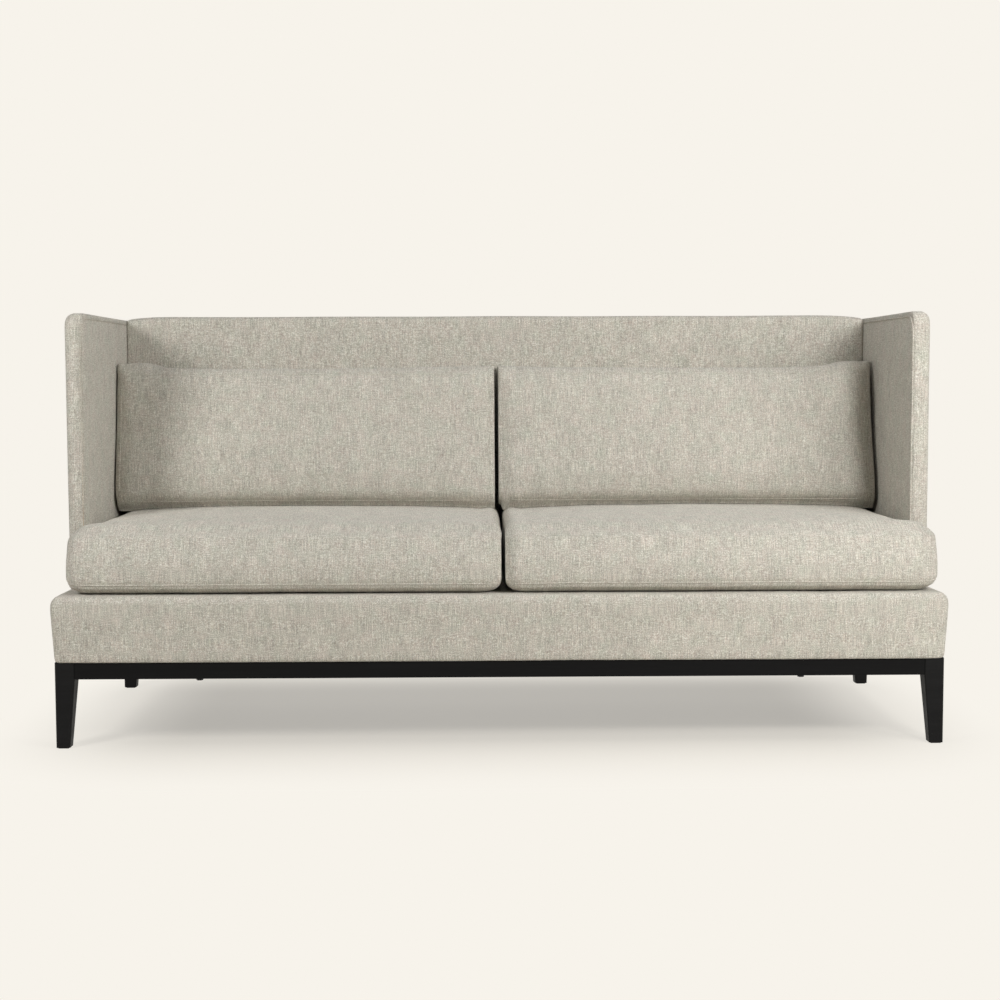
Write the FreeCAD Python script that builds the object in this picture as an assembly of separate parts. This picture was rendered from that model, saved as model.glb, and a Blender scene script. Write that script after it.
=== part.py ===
"""High-backed dining sofa with thin wings, two T-shaped seat cushions and two loose back cushions.

Millimetres. X runs to the sofa's right as the photograph shows it, -Y is the front, +Z is up.
The origin is on the floor, in the middle of the footprint.
"""

import FreeCAD
import Part

import math
import os

V = FreeCAD.Vector

# Overall
WIDTH = 1960.0
DEPTH = 760.0

# Stand of stained wood
STAND_HEIGHT = 190.0
STAND_RAIL_DEEP = 37.0
STAND_RAIL_THICK = 28.0
STAND_RAIL_SETBACK = 1.0
CROSS_RAIL_DEEP = 30.0
LEG_TOP = 43.0
LEG_FOOT = 30.0
LEG_CORNER = 2.5
LEG_INSET_SIDE = 6.5
LEG_INSET_FRONT = 11.5
TENON_THICK = 12.0
TENON_TALL = 25.0
TENON_LONG = 20.0
CROSS_TENON_LONG = 10.0
GLIDE_THICK = 2.0
GLIDE_HALF = 11.0
GLIDE_PIN_HALF = 1.5
GLIDE_PIN_LONG = 14.0

# Bolts that hold the seat frame on the stand
BOLT_RADIUS = 4.0
BOLT_HEAD_ACROSS = 13.0
BOLT_HEAD_TALL = 5.0
BOLT_REACH = 42.0
BOLT_FROM_LEG = 270.0

# Upholstered base
BASE_HEIGHT = 144.0
BASE_TUCK = 6.0
BASE_WIDEST = 118.0
BASE_ROUND = 12.0
BASE_CORNER = 14.0
BASE_HIDDEN_CORNER = 8.0
BASE_PAD = 6.0
BASE_REAR_PAD = 3.0
BASE_HEM = 22.0
DUST_COVER_THICK = 1.0

# Seat frame
SEAT_RAIL_DEEP = 106.0
SEAT_RAIL_THICK = 28.0
STRETCHER_DEEP = 60.0
STRETCHER_PITCH = 640.0
CORNER_BLOCK_LEG = 62.0
CORNER_BLOCK_TALL = 60.0

# Elastic webbing
STRAP_WIDE = 60.0
STRAP_THICK = 1.6
STRAP_PITCH = 160.0
SEAT_STRAP_END_ROOM = 20.0
BACK_STRAP_END_ROOM = 100.0
SEAT_LONG_STRAPS = 3
SEAT_LONG_PITCH = 150.0
SEAT_LONG_MIDDLE = 45.0
BACK_LONG_STRAPS = 2
STRAP_LAP = 22.0

# Wings
WING_HEIGHT = 620.5
WING_THICK = 44.0
WING_INSET = 3.5
WING_SETBACK = 159.0
WING_NOSE = 30.0
WING_EDGE = 20.0
WING_SEAM_EDGE = 3.0
WING_PAD = 6.0
WING_POST_WIDE = 40.0
WING_RAIL_DEEP = 26.0
WING_PANEL_THICK = 5.0

# Back
BACK_RISE = 629.0
BACK_THICK = 121.0
BACK_EDGE = 14.0
BACK_END_DROP = 7.0
BACK_END_RUN = 110.0
BACK_PAD = 24.0
BACK_RAIL_THICK = 25.0
BACK_LOWER_RAIL_UP = 130.0
OUTSIDE_COVER_THICK = 4.0
OUTSIDE_COVER_LOWER = 7.0
OUTSIDE_COVER_CORNER = 20.0

# Post tenons into the seat frame
POST_TENON_THICK = 12.0
POST_TENON_LONG = 40.0

# Seat cushions
SEAT_THICK = 152.5
SEAT_CROWN = 10.5
SEAT_CROWN_FLAT = 60.0
SEAT_SETBACK = 20.0
SEAT_GAP = 9.0
SEAT_SHIFT = 6.0
SEAT_EAR = 32.0
SEAT_REAR_AIR = 6.0
SEAT_LOWER_EDGE = 22.0
SEAT_UPPER_EDGE = 28.0
WATERFALL_RUN = 75.0
WATERFALL_DROP = 82.0
SEAT_CORNER = 25.0
SEAT_DRAW = 2.5
EAR_STEP = 0.6
EAR_ROOT = 100.0
CORNER_SHARE = 0.4

# Back cushions
BACK_CUSHION_TALL = 337.0
BACK_CUSHION_FOOT = 150.0
BACK_CUSHION_HEAD = 142.0
BACK_CUSHION_CROWN = 18.0
BACK_CUSHION_CROWN_RUN = 240.0
BACK_CUSHION_REAR_CROWN = 8.0
BACK_CUSHION_SLOUCH = 14.0
BACK_CUSHION_LEAN = 57.0
BACK_CUSHION_DRAW = 5.0
BACK_CUSHION_EDGE = 9.0
BACK_CUSHION_CORNER = 12.0
BACK_CUSHION_LEFT_AIR = 2.5
BACK_CUSHION_RIGHT_AIR = 7.9
BACK_ZIP_FROM_FOOT = 32.0

# Zips
ZIP_TAPE_WIDE = 28.0
ZIP_TAPE_THICK = 0.8
ZIP_CHAIN_WIDE = 5.0
ZIP_CHAIN_PROUD = 0.4
ZIP_MARGIN = 60.0
ZIP_WINDOW = 9.0
SLIDER_LONG = 10.0
SLIDER_PLATE = 1.4
SLIDER_WIDE = 10.0
PULL_LONG = 18.0
PULL_WIDE = 6.0
PULL_THICK = 1.2
SEAT_ZIP_UP = 74.0

# Materials' thickness and clearances
FABRIC = 2.0
LAY_GAP = 0.3
SOFT_CLEAR = 0.5
LIFT_CLEAR = 0.6
FIT = 0.1
BOLT_CLEAR = 0.3
OVERCUT = 1.0

# The share of the way from a corner to its chord's middle at which a right-angled arc passes
ARC_SHARE = 2 - math.sqrt(2)

# Shares of a crown's run at which it is shaped
SEAT_CROWN_SHARES = (0.0, 0.25, 0.6, 1.0)
BACK_CROWN_SHARES = (0.0, 0.4, 1.0)

# Bows below this count as straight, and four points that span a larger volume in mm3 as twisted
STRAIGHT_LIMIT = 0.01
TWIST_LIMIT = 0.001
NO_BOWS = [None] * 4

# Places that several pieces share
FRONT = -DEPTH / 2
REAR = DEPTH / 2
BASE_TOP = STAND_HEIGHT + BASE_HEIGHT
INNER_REAR = REAR - OUTSIDE_COVER_THICK - LAY_GAP
FRAME_BOTTOM = STAND_HEIGHT + FABRIC
FRAME_TOP = FRAME_BOTTOM + SEAT_RAIL_DEEP
FRAME_SIDE = WIDTH / 2 - BASE_TUCK - FABRIC - BASE_PAD
FRAME_FRONT = FRONT + BASE_TUCK + FABRIC + BASE_PAD
FRAME_REAR = INNER_REAR - FABRIC - BASE_REAR_PAD
WING_OUT = WIDTH / 2 - WING_INSET
WING_IN = WING_OUT - WING_THICK
WING_FRONT = FRONT + WING_SETBACK
WING_TOP = BASE_TOP + WING_HEIGHT
WING_WOOD_IN = WING_IN + FABRIC + WING_PAD
WING_WOOD_OUT = WING_OUT - FABRIC - WING_PAD
WING_WOOD_FRONT = WING_FRONT + FABRIC + WING_PAD + LAY_GAP
WING_WOOD_TOP = WING_TOP - FABRIC - WING_PAD - LAY_GAP
BACK_FRONT = REAR - OUTSIDE_COVER_THICK - BACK_THICK
BACK_TOP = BASE_TOP + BACK_RISE
STRAP_LAYER = 2 * STRAP_THICK + 2 * LAY_GAP
BACK_WOOD_FRONT = BACK_FRONT + FABRIC + BACK_PAD + STRAP_LAYER
BACK_WOOD_TOP = BACK_TOP - BACK_END_DROP - FABRIC - LAY_GAP - BASE_PAD
BACK_LOWER_RAIL = BASE_TOP + BACK_LOWER_RAIL_UP
SEAT_BOTTOM = BASE_TOP + LAY_GAP
SEAT_SHOULDER = SEAT_BOTTOM + SEAT_THICK
SEAT_TOP = SEAT_SHOULDER + SEAT_CROWN
SEAT_FRONT = FRONT + SEAT_SETBACK
SEAT_REAR = BACK_FRONT - SEAT_REAR_AIR
LEG_OUT = WIDTH / 2 - LEG_INSET_SIDE
LEG_FRONT = FRONT + LEG_INSET_FRONT
LEG_REAR = REAR - LEG_INSET_FRONT
STAND_RAIL_BOTTOM = STAND_HEIGHT - STAND_RAIL_DEEP
SIDES = {"left": -1, "right": 1}


def box(x0, x1, y0, y1, z0, z1):
    """A box between two corners, whichever way round its X limits are given."""
    low = min(x0, x1)
    return Part.makeBox(abs(x1 - x0), y1 - y0, z1 - z0, V(low, y0, z0))


def rod(radius, z0, z1, x, y):
    """An upright cylinder."""
    return Part.makeCylinder(radius, z1 - z0, V(x, y, z0))


def joined(shapes):
    """Touching solids made into one, with the faces that lie in one plane merged."""
    whole = shapes[0]
    for shape in shapes[1:]:
        whole = whole.fuse(shape)
    return whole.removeSplitter()


def side_edge(start, end, bow):
    """A straight side, or an arc whose middle is moved by bow."""
    if bow is None or bow.Length < STRAIGHT_LIMIT:
        return Part.LineSegment(start, end).toShape()
    return Part.Arc(start, (start + end) * 0.5 + bow, end).toShape()


def rounded_loop(corners, radius, bows):
    """A closed outline with an arc at each corner; bows[i] moves the middle of the side after corner i."""
    edges = []
    for i, corner in enumerate(corners):
        after = corners[(i + 1) % len(corners)]
        start = corner + (corners[i - 1] - corner).normalize() * radius
        end = corner + (after - corner).normalize() * radius
        middle = corner + ((start + end) * 0.5 - corner) * ARC_SHARE
        edges.append(Part.Arc(start, middle, end).toShape())
        side_end = after + (corner - after).normalize() * radius
        edges.append(side_edge(end, side_end, bows[i]))
    return Part.Wire(edges)


def cut_outline(corners, radius, bows):
    """The points of an outline with its corners cut off straight and its bowed sides bent once."""
    points = []
    for i, corner in enumerate(corners):
        after = corners[(i + 1) % len(corners)]
        points.append(corner + (corners[i - 1] - corner).normalize() * radius)
        points.append(corner + (after - corner).normalize() * radius)
        if bows[i] is not None:
            points.append((corner + after) * 0.5 + bows[i])
    return points


def level_corners(x0, x1, y0, y1, z):
    """The corners of a rectangle at height z, from its front left corner round by the right."""
    return [V(x0, y0, z), V(x1, y0, z), V(x1, y1, z), V(x0, y1, z)]


def flat_face(points):
    """A flat face inside straight sides."""
    return Part.Face(Part.makePolygon(points + points[:1]))


def faceted(outlines):
    """A solid through outlines with as many points each, in flat faces, with twisted ones in two."""
    faces = [flat_face(outlines[0]), flat_face(outlines[-1])]
    for below, above in zip(outlines, outlines[1:]):
        for i, a in enumerate(below):
            j = (i + 1) % len(below)
            b, c, d = below[j], above[j], above[i]
            if abs((b - a).cross(c - a).dot(d - a)) < TWIST_LIMIT:
                faces.append(flat_face([a, b, c, d]))
            else:
                faces += [flat_face([a, b, c]), flat_face([a, c, d])]
    return Part.makeSolid(Part.makeShell(faces))


def quarter(steps):
    """The angles that divide a quarter turn into equal steps."""
    return [math.pi / 2 * step / steps for step in range(steps + 1)]


def edge_inset(run, drop, depth):
    """How far an elliptic edge has drawn in at a depth below the face that it rounds into."""
    if depth >= drop:
        return 0.0
    rise = 1 - depth / drop
    return run * (1 - math.sqrt(1 - rise * rise))


def base_form(skin):
    """The upholstered base: it narrows to its foot, and its top edges are rounded except at the rear.

    With a skin it is the hollow inside the cover, with its hidden edges cut off straight.
    """
    radius = BASE_ROUND - skin
    top = BASE_TOP - skin
    hidden = skin > 0
    levels = [(STAND_HEIGHT + skin, BASE_TUCK), (STAND_HEIGHT + BASE_WIDEST, 0.0)]
    for turn in quarter(1 if hidden else 2):
        levels.append((top - radius * (1 - math.sin(turn)), radius * (1 - math.cos(turn))))
    outlines = []
    for z, inset in levels:
        reach = WIDTH / 2 - skin - inset
        outlines.append(level_corners(-reach, reach, FRONT + skin + inset, INNER_REAR - skin, z))
    if hidden:
        return faceted([cut_outline(outline, BASE_HIDDEN_CORNER, NO_BOWS) for outline in outlines])
    corner = BASE_CORNER - skin
    return Part.makeLoft([rounded_loop(outline, corner, NO_BOWS) for outline in outlines], True, True)


def make_base():
    """Cover with a hem turned under the rails, the padding round the frame, and the dust cover."""
    inner = base_form(FABRIC)
    hem_x = FRAME_SIDE - BASE_HEM
    hem_front = FRAME_FRONT + BASE_HEM
    hem_rear = FRAME_REAR - BASE_HEM
    below = box(-hem_x, hem_x, hem_front, hem_rear, STAND_HEIGHT - OVERCUT, FRAME_BOTTOM + OVERCUT)
    cover = base_form(0.0).cut(inner).cut(below)
    filling = base_form(FABRIC + LAY_GAP)
    padding = filling.cut(box(-FRAME_SIDE, FRAME_SIDE, FRAME_FRONT, FRAME_REAR, STAND_HEIGHT, BASE_TOP))
    dust = box(
        -hem_x + SOFT_CLEAR,
        hem_x - SOFT_CLEAR,
        hem_front + SOFT_CLEAR,
        hem_rear - SOFT_CLEAR,
        FRAME_BOTTOM - DUST_COVER_THICK,
        FRAME_BOTTOM,
    )
    pad = box(
        -FRAME_SIDE + LAY_GAP,
        FRAME_SIDE - LAY_GAP,
        FRAME_FRONT + LAY_GAP,
        FRAME_REAR,
        FRAME_TOP + STRAP_LAYER + LAY_GAP,
        BASE_TOP - FABRIC - LAY_GAP,
    )
    deck_pad = pad.common(filling)
    return {"base_cover": cover, "base_padding": padding, "dust_cover": dust, "deck_pad": deck_pad}


def make_seat_frame():
    """Front and rear rails over the full width, side rails between them, stretchers and corner blocks."""
    front_in = FRAME_FRONT + SEAT_RAIL_THICK
    rear_in = FRAME_REAR - SEAT_RAIL_THICK
    side_in = FRAME_SIDE - SEAT_RAIL_THICK
    rails = {
        "seat_rail_front": box(-FRAME_SIDE, FRAME_SIDE, FRAME_FRONT, front_in, FRAME_BOTTOM, FRAME_TOP),
        "seat_rail_rear": box(-FRAME_SIDE, FRAME_SIDE, rear_in, FRAME_REAR, FRAME_BOTTOM, FRAME_TOP),
    }
    blocks = []
    for name, sign in SIDES.items():
        rail = box(sign * side_in, sign * FRAME_SIDE, front_in, rear_in, FRAME_BOTTOM, FRAME_TOP)
        rails["seat_rail_" + name] = rail
        for y, turn in ((front_in, 1), (rear_in, -1)):
            blocks.append(corner_block(sign * side_in, y, -sign, turn))
    stretchers = []
    for place in (-0.5, 0.5):
        x = place * STRETCHER_PITCH
        low = x - SEAT_RAIL_THICK / 2
        high = x + SEAT_RAIL_THICK / 2
        stretchers.append(box(low, high, front_in, rear_in, FRAME_BOTTOM, FRAME_BOTTOM + STRETCHER_DEEP))
    rails["seat_stretchers"] = Part.makeCompound(stretchers)
    rails["seat_corner_blocks"] = Part.makeCompound(blocks)
    return rails


def corner_block(x, y, way_x, way_y):
    """A triangular block glued into a corner of the frame."""
    points = [V(x, y, FRAME_BOTTOM), V(x + way_x * CORNER_BLOCK_LEG, y, FRAME_BOTTOM)]
    points.append(V(x, y + way_y * CORNER_BLOCK_LEG, FRAME_BOTTOM))
    face = Part.Face(Part.makePolygon(points + [points[0]]))
    return face.extrude(V(0, 0, CORNER_BLOCK_TALL))


def strap(start, end, crossings, first_way):
    """One strap along X, with its underside's ends at z 0, woven over and under the straps at crossings."""
    wave = (STRAP_THICK + LAY_GAP) / 2
    flat = STRAP_WIDE / 2 + 2 * STRAP_THICK
    line = [(start, 0.0), (start + STRAP_LAP, 0.0)]
    way = first_way
    for place in crossings:
        line += [(place - flat, way * wave), (place + flat, way * wave)]
        way = -way
    line += [(end - STRAP_LAP, 0.0), (end, 0.0)]
    upper = [V(x, -STRAP_WIDE / 2, z + STRAP_THICK) for x, z in line]
    lower = [V(x, -STRAP_WIDE / 2, z) for x, z in reversed(line)]
    points = upper + lower
    return Part.Face(Part.makePolygon(points + [points[0]])).extrude(V(0, STRAP_WIDE, 0))


def woven(cross_places, cross_ends, long_places, long_ends):
    """Two sets of straps in the XY plane: the long ones run along X, the cross ones along Y."""
    crosses = []
    for i, x in enumerate(cross_places):
        one = strap(cross_ends[0], cross_ends[1], long_places, 1 - 2 * (i % 2))
        one.rotate(V(0, 0, 0), V(0, 0, 1), 90)
        one.translate(V(x, 0, 0))
        crosses.append(one)
    longs = []
    for j, y in enumerate(long_places):
        one = strap(long_ends[0], long_ends[1], cross_places, 2 * (j % 2) - 1)
        one.translate(V(0, y, 0))
        longs.append(one)
    return Part.makeCompound(crosses), Part.makeCompound(longs)


def strap_places(reach, pitch):
    """Places of as many straps as lie within reach of the middle, spaced by pitch about it."""
    per_half = int((reach - STRAP_WIDE / 2) / pitch + 0.5)
    right = [pitch * (i + 0.5) for i in range(per_half)]
    return [-x for x in reversed(right)] + right


def make_seat_webbing():
    """Elastic straps tacked to the tops of the rails and woven where they cross."""
    middle = (SEAT_LONG_STRAPS - 1) / 2
    long_places = [SEAT_LONG_MIDDLE + (i - middle) * SEAT_LONG_PITCH for i in range(SEAT_LONG_STRAPS)]
    between_rails = FRAME_SIDE - SEAT_RAIL_THICK
    cross_places = strap_places(between_rails - SEAT_STRAP_END_ROOM, STRAP_PITCH)
    cross_ends = (FRAME_FRONT + SEAT_RAIL_THICK - STRAP_LAP, FRAME_REAR - SEAT_RAIL_THICK + STRAP_LAP)
    reach = between_rails + STRAP_LAP
    crosses, longs = woven(cross_places, cross_ends, long_places, (-reach, reach))
    for shape in (crosses, longs):
        shape.translate(V(0, 0, FRAME_TOP))
    return {"seat_webbing_cross": crosses, "seat_webbing_long": longs}


def wing_profile(thick, front, top, nose, x, bottom, rear):
    """The wing's side outline at x, straight but for a rounded corner at the front of its top, made thick."""
    low_front = V(x, front, bottom)
    rise = V(x, front, top - nose)
    turn = V(x, front + nose * (1 - math.sqrt(0.5)), top - nose * (1 - math.sqrt(0.5)))
    ahead = V(x, front + nose, top)
    edges = [Part.LineSegment(low_front, rise).toShape(), Part.Arc(rise, turn, ahead).toShape()]
    corners = [ahead, V(x, rear, top), V(x, rear, bottom), low_front]
    for a, b in zip(corners, corners[1:]):
        edges.append(Part.LineSegment(a, b).toShape())
    return Part.Face(Part.Wire(edges)).extrude(V(thick, 0, 0))


def rim_edges(solid, x, bottom, rear):
    """The edges of the face at x that aren't at the solid's foot or rear."""
    rim = []
    for edge in solid.Edges:
        spots = [vertex.Point for vertex in edge.Vertexes]
        at_x = all(abs(p.x - x) < 0.01 for p in spots)
        at_foot = all(abs(p.z - bottom) < 0.01 for p in spots)
        at_rear = all(abs(p.y - rear) < 0.01 for p in spots)
        if at_x and not at_foot and not at_rear:
            rim.append(edge)
    return rim


def wing_form(sign, skin):
    """A thin upright panel, its outer rim well rounded and its inner rim only eased.

    With a skin it is the hollow inside the cover: it runs out through the foot and the rear, and
    its inner rim is left sharp.
    """
    through = OVERCUT if skin else 0.0
    bottom = BASE_TOP - BASE_ROUND - through
    rear = INNER_REAR + through
    x_in = sign * (WING_IN + skin)
    x_out = sign * (WING_OUT - skin)
    nose = WING_NOSE - skin
    body = wing_profile(x_out - x_in, WING_FRONT + skin, WING_TOP - skin, nose, x_in, bottom, rear)
    body = body.makeFillet(WING_EDGE - skin, rim_edges(body, x_out, bottom, rear))
    if skin:
        return body
    return body.makeChamfer(WING_SEAM_EDGE, rim_edges(body, x_in, bottom, rear))


def post(x0, x1, y0, y1, top):
    """An upright post that stands on the seat frame, with a tenon down into the rail."""
    body = box(x0, x1, y0, y1, FRAME_TOP, top)
    return joined([body, post_tenon(x0, x1, y0, y1, 0.0)])


def post_tenon(x0, x1, y0, y1, grow):
    """A post's tenon, or with grow its mortise."""
    x = (x0 + x1) / 2
    y = (y0 + y1) / 2
    half = POST_TENON_THICK / 2 + grow
    reach = min(abs(y1 - y0), SEAT_RAIL_THICK) / 2 - POST_TENON_THICK / 2 + grow
    foot = FRAME_TOP - POST_TENON_LONG - grow
    return box(x - half, x + half, y - reach, y + reach, foot, FRAME_TOP)


def make_posts():
    """The wings' front posts, the back's outer posts and its centre post, with where each stands."""
    stands = {}
    rail_rear = FRAME_REAR
    for name, sign in SIDES.items():
        x0 = sign * WING_WOOD_IN
        x1 = sign * WING_WOOD_OUT
        front = (x0, x1, WING_WOOD_FRONT, WING_WOOD_FRONT + WING_POST_WIDE, WING_WOOD_TOP - WING_RAIL_DEEP)
        stands["wing_post_" + name] = front
        stands["back_post_" + name] = (x0, x1, BACK_WOOD_FRONT, rail_rear, WING_WOOD_TOP)
    half = BACK_RAIL_THICK / 2
    behind_straps = BACK_WOOD_FRONT + STRAP_THICK
    centre = (-half, half, behind_straps, rail_rear, BACK_WOOD_TOP - BACK_RAIL_THICK)
    stands["back_post_centre"] = centre
    return stands


def wing_timber(sign):
    """The room of the wing's timber inside its padding."""
    nose = WING_NOSE - FABRIC - WING_PAD
    thick = sign * (WING_WOOD_OUT - WING_WOOD_IN)
    bottom = BASE_TOP - BASE_ROUND - OVERCUT
    rear = INNER_REAR + OVERCUT
    return wing_profile(thick, WING_WOOD_FRONT, WING_WOOD_TOP, nose, sign * WING_WOOD_IN, bottom, rear)


def make_wing_frame(sign):
    """The wing's top rail, rounded with the cover at its front, and the thin board that fills the frame."""
    x_in = sign * WING_WOOD_IN
    x_out = sign * WING_WOOD_OUT
    nose = WING_NOSE - FABRIC - WING_PAD
    bottom = WING_WOOD_TOP - WING_RAIL_DEEP
    rail = wing_profile(x_out - x_in, WING_WOOD_FRONT, WING_WOOD_TOP, nose, x_in, bottom, BACK_WOOD_FRONT)
    x_mid = (x_in + x_out) / 2
    half = WING_PANEL_THICK / 2
    y0 = WING_WOOD_FRONT + WING_POST_WIDE
    y1 = BACK_WOOD_FRONT - STRAP_LAYER
    panel = box(x_mid - half, x_mid + half, y0, y1, BASE_TOP + SOFT_CLEAR, bottom)
    return rail, panel


def make_wings():
    """Covers, padding, top rails and infill panels of both wings."""
    nodes = {}
    seat_of_wing = base_form(-LAY_GAP)
    for name, sign in SIDES.items():
        passage = box(
            sign * (WING_IN - OVERCUT),
            sign * (WING_IN + WING_THICK / 2),
            BACK_FRONT + BACK_EDGE,
            REAR,
            BASE_TOP - BASE_ROUND - 2 * OVERCUT,
            BACK_WOOD_TOP + LAY_GAP,
        )
        hollow = wing_form(sign, FABRIC)
        cover = wing_form(sign, 0.0).cut(hollow).cut(passage).cut(seat_of_wing)
        rail, panel = make_wing_frame(sign)
        padding = wing_form(sign, FABRIC + LAY_GAP).cut(wing_timber(sign))
        padding = padding.cut(passage).cut(seat_of_wing)
        padding = padding.cut(box(-WIDTH, WIDTH, INNER_REAR, REAR + OVERCUT, 0, WING_TOP))
        nodes["wing_cover_" + name] = cover
        nodes["wing_padding_" + name] = padding
        nodes["wing_top_rail_" + name] = rail
        nodes["wing_panel_" + name] = panel
    return nodes


def back_form(skin):
    """The back between the wings: level in the middle of its top, falling in an arc to each wing.

    With a skin it is the hollow inside the cover, and runs out through the foot, ends and rear.
    """
    through = OVERCUT if skin else 0.0
    reach = WING_IN - LAY_GAP + through
    bottom = BASE_TOP + LAY_GAP - through
    top = BACK_TOP - skin
    front = BACK_FRONT + skin
    level = WING_IN - BACK_END_RUN
    arc_radius = (BACK_END_RUN**2 + BACK_END_DROP**2) / (2 * BACK_END_DROP)
    half_turn = math.asin(BACK_END_RUN / arc_radius) / 2
    arc_x = arc_radius * math.sin(half_turn)
    arc_z = arc_radius * (1 - math.cos(half_turn))
    end_run = reach - level
    end_drop = arc_radius - math.sqrt(arc_radius**2 - end_run**2)
    foot = [V(-reach, front, bottom), V(reach, front, bottom)]
    ends = [V(reach, front, top - end_drop), V(-reach, front, top - end_drop)]
    levels = [V(level, front, top), V(-level, front, top)]
    edges = [
        Part.LineSegment(foot[0], foot[1]).toShape(),
        Part.LineSegment(foot[1], ends[0]).toShape(),
        Part.Arc(ends[0], V(level + arc_x, front, top - arc_z), levels[0]).toShape(),
        Part.LineSegment(levels[0], levels[1]).toShape(),
        Part.Arc(levels[1], V(-level - arc_x, front, top - arc_z), ends[1]).toShape(),
        Part.LineSegment(ends[1], foot[0]).toShape(),
    ]
    body = Part.Face(Part.Wire(edges)).extrude(V(0, INNER_REAR + through - front, 0))
    low = top - end_drop - OVERCUT
    rim = [e for e in body.Edges if all(abs(v.Y - front) < 0.01 and v.Z > low for v in e.Vertexes)]
    return body.makeFillet(BACK_EDGE - skin, rim)


def make_back():
    """Rails, woven webbing, padding, inside cover and outside cover of the back."""
    reach = WING_WOOD_IN
    half = BACK_RAIL_THICK / 2
    top_bottom = BACK_WOOD_TOP - BACK_RAIL_THICK
    lower_top = BACK_LOWER_RAIL + BACK_RAIL_THICK
    rail_rear = FRAME_REAR
    lower = box(-reach, reach, BACK_WOOD_FRONT, rail_rear, BACK_LOWER_RAIL, lower_top)
    notch_front = BACK_WOOD_FRONT - OVERCUT
    notch_low = BACK_LOWER_RAIL - OVERCUT
    notch = box(-half, half, notch_front, rail_rear + OVERCUT, notch_low, lower_top + OVERCUT)
    tall = top_bottom - lower_top
    middle = (top_bottom + lower_top) / 2
    long_places = [(i - (BACK_LONG_STRAPS - 1) / 2) * tall / 2 for i in range(BACK_LONG_STRAPS)]
    ends = (-tall / 2 - STRAP_LAP, tall / 2 + STRAP_LAP)
    cross_places = strap_places(WING_WOOD_IN - BACK_STRAP_END_ROOM, STRAP_PITCH)
    long_reach = WING_WOOD_IN + STRAP_LAP
    uprights, levels = woven(cross_places, ends, long_places, (-long_reach, long_reach))
    for shape in (uprights, levels):
        shape.rotate(V(0, 0, 0), V(1, 0, 0), 90)
        shape.translate(V(0, BACK_WOOD_FRONT, middle))
    hollow = back_form(FABRIC)
    wood_front = BACK_WOOD_FRONT - STRAP_LAYER
    wood_zone = box(-WIDTH, WIDTH, wood_front, REAR + OVERCUT, 0, BACK_WOOD_TOP + LAY_GAP)
    padding = back_form(FABRIC + LAY_GAP).cut(wood_zone)
    half_long = WING_IN - LAY_GAP
    between = box(-half_long, half_long, FRONT, INNER_REAR, BASE_TOP + LAY_GAP, BACK_TOP)
    padding = padding.common(between)
    return {
        "back_rail_top": box(-reach, reach, BACK_WOOD_FRONT, rail_rear, top_bottom, BACK_WOOD_TOP),
        "back_rail_lower": lower.cut(notch),
        "back_webbing_upright": uprights,
        "back_webbing_level": levels,
        "back_padding": padding,
        "back_cover_inside": back_form(0.0).cut(hollow),
        "back_cover_outside": outside_cover(),
    }


def outside_cover():
    """The flat cover over the whole rear, from the stand up to just under the top edge."""
    low = STAND_HEIGHT
    high = WING_TOP - OUTSIDE_COVER_LOWER
    half = WING_OUT - BASE_TUCK / 2
    corners = [V(-half, 0, low), V(half, 0, low), V(half, 0, high), V(-half, 0, high)]
    loop = rounded_loop(corners, OUTSIDE_COVER_CORNER, NO_BOWS)
    loop.translate(V(0, REAR - OUTSIDE_COVER_THICK, 0))
    return Part.Face(loop).extrude(V(0, OUTSIDE_COVER_THICK, 0))


def leg_square(sign, way, wide, z):
    """A leg's bevelled outline at height z: its outer faces stay put, and the inner ones move with wide."""
    outer_x = sign * LEG_OUT
    outer_y = LEG_FRONT if way < 0 else LEG_REAR
    inner_x = outer_x - sign * wide
    inner_y = outer_y - way * wide
    xs = sorted((outer_x, inner_x))
    ys = sorted((outer_y, inner_y))
    return cut_outline(level_corners(xs[0], xs[1], ys[0], ys[1], z), LEG_CORNER, NO_BOWS)


def long_rail(way, grow):
    """The front or rear rail of the stand with its tenons, or with grow the room it takes."""
    outer = LEG_FRONT + STAND_RAIL_SETBACK if way < 0 else LEG_REAR - STAND_RAIL_SETBACK
    inner = outer - way * STAND_RAIL_THICK
    y0, y1 = sorted((outer, inner))
    y_mid = (y0 + y1) / 2
    z_mid = STAND_HEIGHT - STAND_RAIL_DEEP / 2
    half = TENON_THICK / 2 + grow
    tall = TENON_TALL / 2 + grow
    shoulder = LEG_OUT - LEG_TOP
    reach = shoulder + TENON_LONG + grow
    tenons = box(-reach, reach, y_mid - half, y_mid + half, z_mid - tall, z_mid + tall)
    body = box(-shoulder, shoulder, y0, y1, STAND_RAIL_BOTTOM, STAND_HEIGHT)
    return joined([body, tenons])


def side_rail(sign, grow):
    """A side rail of the stand with its tenons, or with grow the room it takes."""
    outer = LEG_OUT - STAND_RAIL_SETBACK
    inner = outer - STAND_RAIL_THICK
    x_mid = (outer + inner) / 2
    z_mid = STAND_HEIGHT - STAND_RAIL_DEEP / 2
    half = TENON_THICK / 2 + grow
    tall = TENON_TALL / 2 + grow
    y0 = LEG_FRONT + LEG_TOP
    y1 = LEG_REAR - LEG_TOP
    reach = TENON_LONG + grow
    tenons = box(
        sign * (x_mid - half),
        sign * (x_mid + half),
        y0 - reach,
        y1 + reach,
        z_mid - tall,
        z_mid + tall,
    )
    body = box(sign * inner, sign * outer, y0, y1, STAND_RAIL_BOTTOM, STAND_HEIGHT)
    return joined([body, tenons])


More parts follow.
